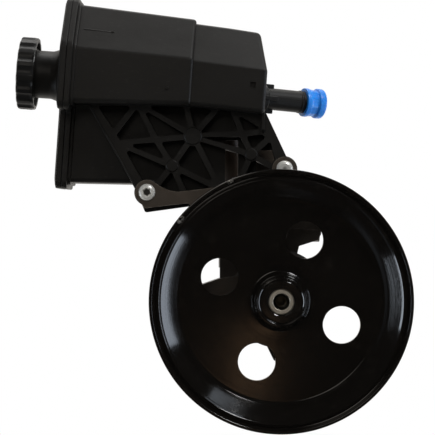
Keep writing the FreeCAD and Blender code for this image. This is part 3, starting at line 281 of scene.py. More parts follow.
def stacked_mesh(name, rings, place):
    """A skin over closed rings that have the same number of points, its ends shut."""
    points = [point for ring in rings for point in ring]
    count = len(rings[0])
    faces = []
    for level in range(len(rings) - 1):
        faces += belt(level, level + 1, count)
    faces.append(list(range(count)))
    faces.append([(len(rings) - 1) * count + step for step in range(count)])
    return mesh_of(name, points, faces, place)


def slab_mesh(name, outline, low, high, place, edge=0.0, steps=2):
    """A plate cut to an outline in the frame's Y and Z, thick along X, its rims rounded."""
    front = [(low, 0.0)]
    if edge > 0:
        angles = [math.pi / 2 * step / steps for step in range(steps + 1)]
        front = [(low + edge * (1 - math.sin(angle)), edge * (1 - math.cos(angle)))
                 for angle in reversed(angles)]
    back = [(high - (along - low), inset) for along, inset in reversed(front)]
    layers = [[(along, y, z) for y, z in shrunk(outline, inset)] for along, inset in front + back]
    return stacked_mesh(name, layers, place)


def shown(name, data):
    """A mesh, lamp or camera as an object of the scene."""
    thing = bpy.data.objects.new(name, data)
    bpy.context.collection.objects.link(thing)
    return thing


def plain_copy(thing):
    """The object's finished mesh, with its modifiers worked in."""
    bpy.context.view_layer.update()
    seen = thing.evaluated_get(bpy.context.evaluated_depsgraph_get())
    mesh = bpy.data.meshes.new_from_object(seen)
    mesh.name = thing.data.name
    return mesh


def carve(base, tools, how="DIFFERENCE"):
    """Cut or join meshes, and give back one mesh."""
    thing = shown(base.name, base)
    helpers = []
    for tool in tools:
        helper = shown(tool.name, tool)
        helpers.append(helper)
        step = thing.modifiers.new("carve", "BOOLEAN")
        step.operation = how
        step.solver = "EXACT"
        step.object = helper
    mesh = plain_copy(thing)
    for item in [thing] + helpers:
        bpy.data.objects.remove(item)
    return mesh


def joined(name, meshes):
    """Separate closed shells in one mesh."""
    shape = bmesh.new()
    for mesh in meshes:
        shape.from_mesh(mesh)
    return written(shape, bpy.data.meshes.new(name))


def dressed_edges(mesh, width, angle, steps):
    """The mesh with its edges rounded where they turn by more than an angle."""
    thing = shown(mesh.name, mesh)
    edge = thing.modifiers.new("edge", "BEVEL")
    edge.width = width * MM
    edge.segments = steps
    edge.limit_method = "ANGLE"
    edge.angle_limit = math.radians(angle)
    edge.use_clamp_overlap = True
    result = plain_copy(thing)
    bpy.data.objects.remove(thing)
    return result


def smooth_mesh(mesh, angle):
    """Smooth shading, with creases where faces meet at more than an angle."""
    shape = opened(mesh)
    for face in shape.faces:
        face.smooth = True
    for edge in shape.edges:
        if len(edge.link_faces) == 2:
            edge.smooth = edge.calc_face_angle(0) < math.radians(angle)
    written(shape, mesh)


def even_shading(mesh):
    """The mesh with normals that follow its larger faces, so flats stay flat beside rounds."""
    thing = shown(mesh.name, mesh)
    step = thing.modifiers.new("even", "WEIGHTED_NORMAL")
    step.mode = "FACE_AREA"
    step.keep_sharp = True
    result = plain_copy(thing)
    bpy.data.objects.remove(thing)
    return result


def piece(name, mesh, finish, body, nodes, angle):
    """One finished piece of the pump, riding on its body in place of CAD nodes."""
    smooth_mesh(mesh, angle)
    mesh = even_shading(mesh)
    mesh.name = name
    mesh.materials.clear()
    mesh.materials.append(finish)
    thing = shown(name, mesh)
    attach(thing, body)
    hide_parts(*nodes)


# How close points lie, in metres, that stand for one corner of a body or of a thin wire
WELD = 2e-6
WIRE_WELD = 1e-7


def copied_solid(node):
    """A copy of a CAD node's mesh, its seams closed and its flat faces made whole."""
    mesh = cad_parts[node].data.copy()
    shape = opened(mesh)
    bmesh.ops.remove_doubles(shape, verts=shape.verts, dist=WELD)
    bmesh.ops.dissolve_limit(shape, angle_limit=math.radians(1.0), verts=shape.verts,
                             edges=shape.edges)
    return written(shape, mesh)


# Node trees


class Nodes:
    """A tree of nodes, with short ways to add to it."""

    def __init__(self, tree):
        self.tree = tree

    def add(self, kind, **settings):
        """One node, with its settings."""
        node = self.tree.nodes.new(kind)
        for setting, value in settings.items():
            setattr(node, setting, value)
        return node

    def fill(self, node, **values):
        """Values of a node's inputs, named with a line for each blank, and the node again."""
        for socket, value in values.items():
            node.inputs[socket.replace("_", " ")].default_value = value
        return node

    def join(self, source, target):
        """A link from one socket to another."""
        self.tree.links.new(source, target)

    def wire(self, *links):
        """Links in this order, each from a node and its output to a node and its input."""
        for source, output, target, socket in links:
            self.tree.links.new(source.outputs[output], target.inputs[socket])


# Repeating shapes, each from its own tree of Geometry Nodes


class Tree(Nodes):
    """A Geometry Nodes tree with named inputs for its sizes."""

    def __init__(self, name, lengths, counts):
        super().__init__(bpy.data.node_groups.new(name, "GeometryNodeTree"))
        face = self.tree.interface
        face.new_socket("Geometry", in_out="OUTPUT", socket_type="NodeSocketGeometry")
        face.new_socket("Geometry", in_out="INPUT", socket_type="NodeSocketGeometry")
        self.names = {}
        for kind, labels in (("NodeSocketFloat", lengths), ("NodeSocketInt", counts)):
            for label in labels:
                socket = face.new_socket(label, in_out="INPUT", socket_type=kind)
                self.names[label] = socket.identifier
        self.inlet = self.add("NodeGroupInput")
        self.outlet = self.add("NodeGroupOutput")

    def close(self, last, output, finish):
        """Realize the last node's instances, set the material and end the tree."""
        real = self.add("GeometryNodeRealizeInstances")
        dress = self.fill(self.add("GeometryNodeSetMaterial"), Material=finish)
        self.wire((last, output, real, "Geometry"), (real, "Geometry", dress, "Geometry"),
                  (dress, "Geometry", self.outlet, "Geometry"))

    def grow(self, name, start, values):
        """The mesh that the tree makes of a starting mesh with these sizes."""
        thing = shown(start.name, start)
        thing.name = name
        step = thing.modifiers.new("grow", "NODES")
        step.node_group = self.tree
        for label, value in values.items():
            step[self.names[label]] = value
        mesh = plain_copy(thing)
        mesh.name = name
        thing.modifiers.remove(step)
        bpy.data.objects.remove(thing)
        return mesh


def coil_tree(finish):
    """A wire wound in a helix about Z: the threads and the valve spring."""
    tree = Tree("wound_wire", ("Radius", "Length", "Turns", "Wire"), ("Corners", "Steps"))
    helix = tree.add("GeometryNodeCurveSpiral")
    wire = tree.add("GeometryNodeCurvePrimitiveCircle", mode="RADIUS")
    sweep = tree.fill(tree.add("GeometryNodeCurveToMesh"), Fill_Caps=True)
    tree.wire((tree.inlet, "Steps", helix, "Resolution"),
              (tree.inlet, "Turns", helix, "Rotations"),
              (tree.inlet, "Radius", helix, "Start Radius"),
              (tree.inlet, "Radius", helix, "End Radius"),
              (tree.inlet, "Length", helix, "Height"),
              (tree.inlet, "Corners", wire, "Resolution"),
              (tree.inlet, "Wire", wire, "Radius"),
              (helix, "Curve", sweep, "Curve"),
              (wire, "Curve", sweep, "Profile Curve"))
    tree.close(sweep, "Mesh", finish)
    return tree


def wound(name, place, radius, length, turns, wire, corners, steps):
    """A wire in millimetres, this long when wound, put in its place."""
    mesh = THREAD.grow(name, bpy.data.meshes.new(name), {
        "Radius": radius, "Length": length, "Turns": turns, "Wire": wire, "Corners": corners,
        "Steps": steps})
    along = Matrix(((0, 0, 1, 0), (0, 1, 0, 0), (-1, 0, 0, 0), (0, 0, 0, 1)))
    mesh.transform(TO_METRES @ place @ along)
    return welded(mesh, WIRE_WELD)


def panel_tree(finish):
    """A flat plate with openings from closed outlines, its corners rounded."""
    tree = Tree("ribbed_panel", ("Corner Radius", "Thickness"), ("Corner Steps",))
    curve = tree.add("GeometryNodeMeshToCurve")
    corner = tree.fill(tree.add("GeometryNodeFilletCurve"), Limit_Radius=True)
    fill = tree.add("GeometryNodeFillCurve")
    rise = tree.fill(tree.add("GeometryNodeExtrudeMesh"), Individual=False)
    turn = tree.add("GeometryNodeFlipFaces")
    both = tree.add("GeometryNodeJoinGeometry")
    weld = tree.fill(tree.add("GeometryNodeMergeByDistance"), Distance=0.002)
    set_choice(corner, "mode", "Mode", "POLY", "Poly")
    set_choice(fill, "mode", "Mode", "NGONS", "N-gons")
    tree.wire((tree.inlet, "Geometry", curve, "Mesh"),
              (curve, "Curve", corner, "Curve"),
              (tree.inlet, "Corner Radius", corner, "Radius"),
              (tree.inlet, "Corner Steps", corner, "Count"),
              (corner, "Curve", fill, "Curve"),
              (fill, "Mesh", rise, "Mesh"),
              (tree.inlet, "Thickness", rise, "Offset Scale"),
              (fill, "Mesh", turn, "Mesh"),
              (turn, "Mesh", both, "Geometry"),
              (rise, "Mesh", both, "Geometry"),
              (both, "Geometry", weld, "Geometry"))
    tree.close(weld, "Geometry", finish)
    return tree


def set_choice(node, setting, socket, value, label):
    """A choice that is a setting in one release and a socket in the next."""
    if hasattr(node, setting):
        setattr(node, setting, value)
    else:
        node.inputs[socket].default_value = label


def slots_tree(finish):
    """Small blocks in rings about Z, for the openings of the screen."""
    tree = Tree("ringed_slots", ("Radius", "First Height", "Row Pitch", "Width", "Height", "Depth"),
                ("Columns", "Rows"))
    ring = tree.add("GeometryNodeMeshCircle", fill_type="NONE")
    block = tree.add("GeometryNodeMeshCube")
    size = tree.add("ShaderNodeCombineXYZ")
    facing = tree.add("FunctionNodeAlignRotationToVector", axis="X")
    place = tree.add("GeometryNodeInputPosition")
    copies = tree.add("GeometryNodeInstanceOnPoints")
    row = tree.add("GeometryNodeMeshLine", mode="OFFSET")
    start = tree.add("ShaderNodeCombineXYZ")
    step = tree.add("ShaderNodeCombineXYZ")
    rows = tree.add("GeometryNodeInstanceOnPoints")
    tree.wire((tree.inlet, "Columns", ring, "Vertices"),
              (tree.inlet, "Radius", ring, "Radius"),
              (tree.inlet, "Depth", size, "X"),
              (tree.inlet, "Width", size, "Y"),
              (tree.inlet, "Height", size, "Z"),
              (size, "Vector", block, "Size"),
              (place, "Position", facing, "Vector"),
              (ring, "Mesh", copies, "Points"),
              (block, "Mesh", copies, "Instance"),
              (facing, "Rotation", copies, "Rotation"),
              (tree.inlet, "Rows", row, "Count"),
              (tree.inlet, "First Height", start, "Z"),
              (tree.inlet, "Row Pitch", step, "Z"),
              (start, "Vector", row, "Start Location"),
              (step, "Vector", row, "Offset"),
              (row, "Mesh", rows, "Points"),
              (copies, "Instances", rows, "Instance"))
    tree.close(rows, "Instances", finish)
    return tree


def outlines_mesh(name, outlines):
    """Closed outlines as edges on the ground plane, in millimetres."""
    mesh = bpy.data.meshes.new(name)
    points = []
    edges = []
    for outline in outlines:
        first = len(points)
        points += [(across, height, 0.0) for across, height in outline]
        count = len(outline)
        edges += [(first + step, first + (step + 1) % count) for step in range(count)]
    mesh.from_pydata(points, edges, [])
    return mesh


# Finishes


# Where a cloudy pattern's values mostly lie
CLOUD_SPAN = (0.3, 0.7)


class Finish(Nodes):
    """A material, with short ways to lay patterns on the shader's sockets."""

    def __init__(self, name, colour, rough, metal=0.0, **sockets):
        self.material = bpy.data.materials.new(name)
        self.material.use_nodes = True
        super().__init__(self.material.node_tree)
        self.shader = self.fill(self.tree.nodes["Principled BSDF"], Base_Color=(*colour, 1.0),
                                Roughness=rough, Metallic=metal, **sockets)
        self.colour = colour
        self.where = self.add("ShaderNodeTexCoord").outputs["Object"]

    def stretched(self, scale, turn=(0, 0, 0)):
        """Object coordinates, turned and stretched."""
        move = self.fill(self.add("ShaderNodeMapping", vector_type="TEXTURE"), Rotation=turn,
                         Scale=scale)
        self.join(self.where, move.inputs["Vector"])
        return move.outputs["Vector"]

    def noise(self, size, detail=3.0, rough=0.55, where=None):
        """Clouds whose spots are about this many millimetres across."""
        node = self.fill(self.add("ShaderNodeTexNoise"), Scale=1.0 / (size * MM), Detail=detail,
                         Roughness=rough)
        self.join(where or self.where, node.inputs["Vector"])
        return node.outputs["Fac"]

    def cells(self, size):
        """Distance to scattered points this many millimetres apart."""
        node = self.fill(self.add("ShaderNodeTexVoronoi"), Scale=1.0 / (size * MM))
        self.join(self.where, node.inputs["Vector"])
        return node.outputs["Distance"]

    def span(self, value, low, high, new_low=0.0, new_high=1.0):
        """A value stretched from one span to another, and held there."""
        node = self.fill(self.add("ShaderNodeMapRange"), From_Min=low, From_Max=high,
                         To_Min=new_low, To_Max=new_high)
        self.join(value, node.inputs["Value"])
        return node.outputs["Result"]

    def between(self, pattern, low, high):
        """From one value to another over the middle span of a cloudy pattern."""
        return self.span(pattern, *CLOUD_SPAN, low, high)

    def maths(self, how, first, second):
        """One sum on two values, each a number or a socket."""
        node = self.add("ShaderNodeMath", operation=how)
        for socket, value in zip(node.inputs, (first, second)):
            if isinstance(value, (int, float)):
                socket.default_value = value
            else:
                self.join(value, socket)
        return node.outputs["Value"]

    def times(self, first, second):
        """One value times another."""
        return self.maths("MULTIPLY", first, second)

    def blend(self, share, first, second):
        """One colour turning into another."""
        node = self.add("ShaderNodeMix", data_type="RGBA")
        self.join(share, node.inputs["Factor"])
        # The mix node has inputs of each kind: 6 and 7 are its colours, and its output 2
        for socket, value in zip((node.inputs[6], node.inputs[7]), (first, second)):
            if isinstance(value, tuple):
                socket.default_value = (*value, 1.0)
            else:
                self.join(value, socket)
        return node.outputs[2]

    def shaded(self, share, darker, lighter):
        """The finish's own colour, from darker to lighter over a pattern."""
        low, high = (tuple(part * factor for part in self.colour) for factor in (darker, lighter))
        return self.blend(share, low, high)

    def paint(self, value):
        """The colour from a socket."""
        self.join(value, self.shader.inputs["Base Color"])

    def roughen(self, value):
        """The roughness from a socket."""
        self.join(value, self.shader.inputs["Roughness"])

    def gild(self, value):
        """The share of bare metal from a socket."""
        self.join(value, self.shader.inputs["Metallic"])

    def bump(self, height, depth):
        """A relief this many millimetres deep, over the reliefs put on before."""
        node = self.fill(self.add("ShaderNodeBump"), Strength=1.0, Distance=depth * MM)
        self.join(height, node.inputs["Height"])
        normal = self.shader.inputs["Normal"]
        if normal.links:
            self.join(normal.links[0].from_socket, node.inputs["Normal"])
        self.join(node.outputs["Normal"], normal)

    def grain(self, depth, size, detail, rough=0.55):
        """A relief of clouds, its depth and their size in millimetres."""
        self.bump(self.noise(size, detail, rough), depth)

    def rings(self, width, axis="Y"):
        """Rings of this many millimetres round one of the main axes, as a lathe leaves them."""
        flat = self.add("ShaderNodeVectorMath", operation="MULTIPLY")
        flat.inputs[1].default_value = tuple(0.0 if letter == axis else 1.0 for letter in "XYZ")
        spread = self.add("ShaderNodeVectorMath", operation="LENGTH")
        rings = self.fill(self.add("ShaderNodeTexNoise", noise_dimensions="1D"),
                          Scale=1.0 / (width * MM), Detail=3.0)
        self.join(self.where, flat.inputs[0])
        self.join(flat.outputs["Vector"], spread.inputs[0])
        self.join(spread.outputs["Value"], rings.inputs["W"])
        return rings.outputs["Fac"]

    def near(self, place, reach, full=0.35):
        """One up to a full share of the reach from a place, and nothing past the reach."""
        node = self.add("ShaderNodeVectorMath", operation="DISTANCE")
        self.join(self.where, node.inputs[0])
        node.inputs[1].default_value = tuple(value * MM for value in place)
        return self.span(node.outputs["Value"], reach * full * MM, reach * MM, 1.0, 0.0)

    def edges(self, radius):
        """One where the surface turns sharply within this many millimetres."""
        soft = self.fill(self.add("ShaderNodeBevel", samples=4), Radius=radius * MM)
        plain = self.add("ShaderNodeNewGeometry")
        match = self.add("ShaderNodeVectorMath", operation="DOT_PRODUCT")
        self.join(soft.outputs["Normal"], match.inputs[0])
        self.join(plain.outputs["Normal"], match.inputs[1])
        sharp, flat = 0.80, 0.97
        return self.span(match.outputs["Value"], sharp, flat, 1.0, 0.0)


def gloss_black_enamel():
    """Dipped black paint on the spun pulley, chipped on its lip and faintly dusty, with bare specks
    under the hub as painted glints.
    """
    finish = Finish("gloss_black_enamel", (0.0045, 0.0038, 0.0032), 0.18, Coat_Weight=0.3,
                    Coat_Roughness=0.08, Specular_IOR_Level=0.5)
    tone = finish.shaded(finish.noise(26.0, 4.0), 0.8, 1.35)
    dust = finish.span(finish.noise(9.0, 6.0, 0.7), 0.55, 0.78)
    tone = finish.blend(finish.times(dust, 0.35), tone, (0.022, 0.019, 0.016))
    # Bare-metal specks in a patch just under the hub: painted glints, not chips
    spots = finish.span(finish.cells(1.7), 0.10, 0.16, 1.0, 0.0)
    sparse = finish.span(finish.noise(11.0, 2.0), 0.60, 0.66)
    glint_patch_under_hub = finish.near((-4.0, -25.0, -22.0), 13.0)
    painted_glints = finish.times(finish.times(spots, sparse), glint_patch_under_hub)
    chip_edge = finish.span(finish.noise(1.3, 3.0), 0.47, 0.53)
    chips = finish.maths("MAXIMUM", finish.near((-65.3, -38.0, 53.2), 3.2),
                         finish.near((-33.0, -38.0, 78.0), 2.2))
    chips = finish.times(chips, chip_edge)
    bare = finish.maths("MAXIMUM", chips, painted_glints)
    finish.paint(finish.blend(bare, tone, (0.34, 0.32, 0.29)))
    finish.gild(finish.times(bare, 0.7))
    gloss = finish.between(finish.noise(14.0, 4.0), 0.085, 0.125)
    finish.roughen(finish.maths("ADD", gloss, finish.times(dust, 0.04)))
    finish.bump(finish.rings(0.7), 0.016)
    finish.grain(0.012, 3.5, 2.0)
    finish.bump(finish.maths("SUBTRACT", 1.0, bare), 0.05)
    return finish.material


def painted_casting():
    """Black paint over a sand-cast surface, rubbed thin on the edges and lightened there as painted
    edge highlights.
    """
    finish = Finish("painted_casting", (0.048, 0.037, 0.028), 0.42, Specular_IOR_Level=0.5)
    tone = finish.shaded(finish.noise(15.0, 5.0), 0.65, 1.45)
    # Lighter colour on sharp edges: partly paint rubbed thin, partly painted edge highlights
    worn_and_lit_edges = finish.times(finish.edges(1.2), finish.span(finish.noise(4.0, 5.0), 0.40, 0.62))
    finish.paint(finish.blend(finish.times(worn_and_lit_edges, 0.85), tone, (0.22, 0.19, 0.155)))
    finish.roughen(finish.between(finish.noise(6.0, 4.0), 0.26, 0.46))
    finish.grain(0.10, 0.9, 3.0, 0.6)
    finish.grain(0.25, 7.0, 2.0)
    return finish.material


def moulded_nylon():
    """Black glass-filled nylon: satin, with a fine grain and flow marks."""
    finish = Finish("moulded_nylon", (0.0085, 0.0076, 0.0064), 0.47, Specular_IOR_Level=0.32)
    along_tank = finish.stretched((2.6, 1.0, 1.0), (0, math.radians(TANK_LEAN), 0))
    flow = finish.noise(30.0, 5.0, 0.6, along_tank)
    tone = finish.shaded(flow, 0.72, 1.35)
    fibre = finish.span(finish.noise(1.1, 2.0, 0.5, finish.stretched((3.5, 1.0, 1.0))), 0.62, 0.74)
    finish.paint(finish.blend(finish.times(fibre, 0.35), tone, (0.030, 0.028, 0.025)))
    rub = finish.times(finish.edges(0.5), 0.10)
    finish.roughen(finish.maths("SUBTRACT", finish.between(flow, 0.40, 0.54), rub))
    finish.grain(0.022, 0.45, 2.0)
    finish.grain(0.14, 11.0, 2.0)
    return finish.material


def cap_plastic():
    """The filler cap's black plastic, rubbed a little shinier on the grip."""
    finish = Finish("cap_plastic", (0.0070, 0.0067, 0.0063), 0.40, Specular_IOR_Level=0.40)
    finish.paint(finish.shaded(finish.noise(12.0, 4.0), 0.75, 1.3))
    rub = finish.times(finish.edges(0.8), 0.14)
    gloss = finish.between(finish.noise(5.0), 0.36, 0.46)
    finish.roughen(finish.maths("SUBTRACT", gloss, rub))
    finish.grain(0.025, 0.5, 2.0)
    return finish.material


def blue_cap_plastic():
    """Soft blue plastic with a waxy sheen and a few scuffs."""
    finish = Finish("blue_cap_plastic", (0.012, 0.155, 0.62), 0.33, Specular_IOR_Level=0.5,
                    Subsurface_Weight=0.12, Subsurface_Scale=0.002)
    tone = finish.blend(finish.noise(7.0, 4.0), (0.012, 0.190, 0.72), (0.026, 0.300, 0.93))
    scuff = finish.span(finish.noise(1.2, 5.0, 0.7, finish.stretched((4.0, 1.0, 1.0))), 0.62, 0.74)
    finish.paint(finish.blend(finish.times(scuff, 0.3), tone, (0.10, 0.36, 0.85)))
    finish.roughen(finish.between(finish.noise(3.0), 0.26, 0.40))
    finish.grain(0.03, 1.6, 2.0)
    return finish.material


# How far in front of the screws' seats the middle of their recess lies, where the painted shade
# centres
RECESS_DEPTH = -2.2


def zinc_plate(name="zinc_plate", colour=(0.74, 0.73, 0.69), rough=0.30):
    """Bright zinc on steel, with a cloudy bloom, fine scratches and painted shade in the screws'
    recesses.
    """
    finish = Finish(name, colour, rough, 0.35)
    # Near black at the middle of each screw's star recess: painted shade
    recess_shade = finish.maths("MAXIMUM", *(finish.near((across, RECESS_DEPTH, height), 2.9, 0.7)
                                      for across, height in SCREW_PLACES))
    tone = finish.shaded(finish.noise(3.4, 3.0, 0.5), 0.90, 1.06)
    finish.paint(finish.blend(finish.times(recess_shade, 0.93), tone, (0.012, 0.011, 0.009)))
    scratch = finish.span(finish.noise(0.5, 3.0, 0.6, finish.stretched((9.0, 1.0, 1.0))), 0.5, 0.7)
    bloom = finish.span(finish.noise(2.6, 3.0), 0.35, 0.7, rough - 0.04, rough + 0.08)
    finish.roughen(finish.maths("ADD", bloom, finish.times(scratch, 0.05)))
    finish.grain(0.006, 1.6, 2.0)
    return finish.material


def coated_tube():
    """Steel tube with a brown-black bake on it."""
    finish = Finish("coated_tube", (0.030, 0.021, 0.015), 0.55, 0.1)
    finish.paint(finish.blend(finish.noise(6.0, 5.0), (0.035, 0.023, 0.015), (0.085, 0.055, 0.035)))
    finish.roughen(finish.between(finish.noise(2.2, 4.0), 0.48, 0.62))
    finish.grain(0.03, 1.1, 3.0)
    return finish.material


def turned_steel(name, colour, rough, axis="Y"):
    """Steel turned in a lathe: rings round the axis, and painted shade inside the drive shaft's
    threaded hole.
    """
    finish = Finish(name, colour, rough, 0.75)
    tone = finish.shaded(finish.noise(3.5, 5.0), 0.7, 1.15)
    # Near black inside the drive shaft's threaded hole: painted shade
    hole_shade = finish.times(finish.near((0.0, -32.5, 0.0), 7.7, 0.92), 0.96)
    finish.paint(finish.blend(hole_shade, tone, (0.010, 0.009, 0.007)))
    rings = finish.rings(0.35, axis)
    finish.roughen(finish.between(rings, rough - 0.08, rough + 0.10))
    finish.bump(rings, 0.012)
    return finish.material


def moulded_rubber():
    """Matt black rubber."""
    finish = Finish("moulded_rubber", (0.016, 0.016, 0.016), 0.72)
    finish.paint(finish.blend(finish.noise(3.0, 4.0), (0.010, 0.010, 0.010), (0.026, 0.026, 0.025)))
    finish.roughen(finish.between(finish.noise(1.4, 3.0), 0.62, 0.82))
    finish.grain(0.03, 0.35, 2.0)
    return finish.material


def natural_nylon():
    """Cream nylon of the screen and the dipstick, stained by the fluid."""
    finish = Finish("natural_nylon", (0.58, 0.52, 0.40), 0.45, Subsurface_Weight=0.15,
                    Subsurface_Scale=0.002)
    finish.paint(finish.blend(finish.noise(8.0, 5.0), (0.46, 0.38, 0.25), (0.66, 0.61, 0.50)))
    finish.roughen(finish.between(finish.noise(2.5), 0.36, 0.55))
    finish.grain(0.03, 0.7, 2.0)
    return finish.material


# The finishes and the trees, made once

ENAMEL = gloss_black_enamel()
CASTING = painted_casting()
NYLON = moulded_nylon()
CAP_PLASTIC = cap_plastic()
BLUE_PLASTIC = blue_cap_plastic()
ZINC = zinc_plate()
COVER_STEEL = zinc_plate("cover_steel", (0.48, 0.46, 0.42), 0.34)
TUBE = coated_tube()
STEEL = turned_steel("turned_steel", (0.66, 0.60, 0.50), 0.32)
SPRING_STEEL = turned_steel("spring_steel", (0.30, 0.29, 0.28), 0.32)
BRONZE = turned_steel("bush_bronze", (0.55, 0.38, 0.20), 0.32)
BRASS = turned_steel("insert_brass", (0.60, 0.47, 0.22), 0.30)
VALVE_STEEL = turned_steel("valve_steel", (0.52, 0.51, 0.49), 0.26, "X")
RUBBER = moulded_rubber()
NATURAL = natural_nylon()

THREAD = coil_tree(ZINC)
PANEL = panel_tree(NYLON)
SLOTS = slots_tree(NATURAL)


# Belt pulley, hub and drive shaft

GROOVES = 6
FIRST_GROOVE = -33.64
GROOVE_PITCH = 3.56
RIM_RADIUS = 84.5
GROOVE_RADIUS = 81.8

WINDOWS_ROUND = 4
WINDOW_RADIUS = 12.3
WINDOW_REACH = 43.0
WINDOW_TURN = -21.5


def pulley_section():
    """Half section of the spun pulley, (along the shaft, radius), from the hub out and back."""
    points = [(-30.0, 15.9, 0.0), (-30.0, 17.2, 0.7), (-25.0, 19.0, 1.8), (-25.0, 25.5, 0.0),
              (-25.0, 64.5, 0.0), (-25.0, 66.5, 1.4),
              (-26.0, 68.5, 1.2), (-34.8, 78.4, 1.0), (-36.5, 80.0, 0.8), (-35.2, 82.7, 0.5),
              (-38.0, 84.4, 0.7), (-38.0, 86.3, 0.8), (-36.1, 86.3, 0.8), (-34.04, 84.5, 0.6)]
    mouth, root = 1.33, 0.25
    for groove in range(GROOVES):
        middle = FIRST_GROOVE + GROOVE_PITCH * (groove + 0.5)
        points += [(middle - mouth, RIM_RADIUS, 0.35), (middle - root, GROOVE_RADIUS, 0.25),
                   (middle + root, GROOVE_RADIUS, 0.25), (middle + mouth, RIM_RADIUS, 0.35)]
    points += [(-12.28, 84.5, 0.6), (-11.9, 86.3, 0.7), (-10.0, 86.3, 0.8), (-10.0, 79.3, 0.6),
               (-30.6, 79.3, 1.0), (-31.8, 79.0, 1.0), (-22.0, 67.9, 2.0), (-22.0, 64.0, 0.0),
               (-22.0, 25.5, 0.0), (-22.0, 20.9, 2.2),
               (-19.6, 15.9, 0.0)]
    radii = {index: radius for index, (_, _, radius) in enumerate(points)}
    return soften([point[:2] for point in points], 0.0, 3, radii)


def round_rims(mesh, centres, width):
    """Rounds the edges of the round windows through the pulley's wall."""
    sharp, slack = math.radians(40), 0.05 * MM
    shape = opened(mesh)
    rims = []
    for edge in shape.edges:
        if len(edge.link_faces) != 2 or edge.calc_face_angle(0) < sharp:
            continue
        for across, height in centres:
            gaps = [abs(math.hypot(vert.co.x - across * MM, vert.co.z - height * MM)
                        - WINDOW_RADIUS * MM) for vert in edge.verts]
            if max(gaps) < slack:
                rims.append(edge)
                break
    bmesh.ops.bevel(shape, geom=rims, offset=width * MM, segments=3, profile=0.5, affect="EDGES",
                    clamp_overlap=True)
    return written(shape, mesh)


def make_pulley():
    """Spun pulley with six belt grooves, a dished front and four windows."""
    mesh = turned_mesh("pulley", pulley_section(), shaft_frame(), 224)
    angles = [math.radians(WINDOW_TURN + 360 / WINDOWS_ROUND * step)
              for step in range(WINDOWS_ROUND)]
    centres = [(WINDOW_REACH * math.cos(angle), WINDOW_REACH * math.sin(angle))
               for angle in angles]
    cutters = [turned_mesh("window", band(-28, -19, 0, WINDOW_RADIUS),
                           Matrix.Translation((across, 0, height)) @ shaft_frame(), 72)
               for across, height in centres]
    mesh = round_rims(carve(mesh, cutters), centres, 1.15)
    piece("pulley_rim", mesh, ENAMEL, "rotating_group", ["pulley"], 24)


def make_hub():
    """Pressed-in hub: recessed face, puller groove, shoulder into the pulley."""
    section = soften([
        (-38.7, 8.5), (-38.7, 9.0), (-39.0, 9.4), (-39.0, 13.4), (-38.6, 14.0), (-39.5, 14.9),
        (-39.1, 15.9), (-36.1, 15.9), (-35.5, 13.0), (-33.3, 13.0), (-32.7, 15.9), (-13.5, 15.9),
        (-12.5, 14.9), (-12.5, 8.5)], 0.22, 3, {0: 0, 13: 0, 5: 0.45, 6: 0.4, 8: 0.8, 9: 0.8})
    mesh = turned_mesh("hub", section, shaft_frame(), 128)
    piece("pulley_hub_body", mesh, ENAMEL, "rotating_group", ["pulley_hub"],
          26)


def make_shaft():
    """Drive shaft: bright end face, countersunk and threaded hole, chamfered rear end."""
    section = soften([
        (-11.9, 0), (-14.3, 4.1), (-30.9, 4.1), (-31.6, 5.4), (-38.0, 5.4), (-38.3, 5.7),
        (-38.3, 7.7), (-37.5, 8.5),
        (45.0, 8.5), (46.0, 7.5), (46.0, 0)], 0.3, 3, {0: 0, 1: 0, 2: 0, 10: 0})
    shaft = turned_mesh("shaft", section, shaft_frame(), 96)
    turns = wound("shaft_thread", shaft_frame() @ Matrix.Translation((-30.6, 0, 0)),
                  4.15, 15.0, 12.0, 0.45, 3, 28)
    piece("drive_shaft_body", joined("shaft", [shaft, turns]), STEEL, "rotating_group",
          ["drive_shaft"], 30)


# Reservoir

TANK_WALL = 2.5

# Depth of the fold between the tank's top and its front slope
FOLD_DEPTH = 14.0

# The tank's right end leans in above a height: how far per millimetre up, and over what run
END_LEAN = 0.24
LEAN_FOLD = 12.0
LEAN_RUN = 10.0

# Length span, depth, height and cross-size of each small mark on the tank, in its own frame
FRONT_MARKS = (
    (27.8, 30.0, 1.8, 29.7, 1.3, 1.3),
    (67.5, 69.3, -8.2, -5.8, 1.2, 1.8),
    (3.8, 6.4, 20.0, 48.8, 5.0, 1.6),
)


def tank_corners(end, inset=0.0):
    """The corners of the tank's section, (depth, height), at its left end or the step."""
    top, fold, shelf, low = {"left": (48.6, 17.4, -20.2, -73.2),
                             "step": (43.6, 15.0, -16.2, -69.0)}[end]
    front, back = -8.0 + inset, 62.0 - inset
    return [(18.0 + inset, shelf + inset), (18.0 + inset, low + inset), (back, low + inset),
            (back, top - inset), (FOLD_DEPTH + 0.52 * inset, top - inset),
            (front, fold - 0.32 * inset), (front, shelf + inset)]


def narrow_corners(end, inset=0.0):
    """The five corners of the narrower right half."""
    top, fold, shelf = {"step": (41.0, 14.0, -16.2), "right": (37.6, 11.0, -18.2)}[end]
    front, back = -5.4 + inset, 59.4 - inset
    return [(back, shelf + inset), (back, top - inset), (FOLD_DEPTH + 0.52 * inset, top - inset),
            (front, fold - 0.32 * inset), (front, shelf + inset)]


def lofted_box(name, first, last, low, high, corner, end_round, place):
    """A box between two sections, rounded lengthwise and at its far end."""
    rings = []
    levels = [(low, 0.0), (low + (high - low) * 0.5, 0.0)]
    steps = 5 if end_round > 0 else 0
    for step in range(steps + 1):
        angle = math.pi / 2 * step / max(steps, 1)
        levels.append((high - end_round * (1 - math.sin(angle)), end_round * (1 - math.cos(angle))))
    for along, inset in levels:
        share = (along - low) / (high - low)
        outline = [(a[0] + (b[0] - a[0]) * share, a[1] + (b[1] - a[1]) * share)
                   for a, b in zip(first, last)]
        outline = shrunk(soften(outline, corner, 5), inset)
        rings.append([(along, y, z) for y, z in outline])
    return stacked_mesh(name, rings, place)


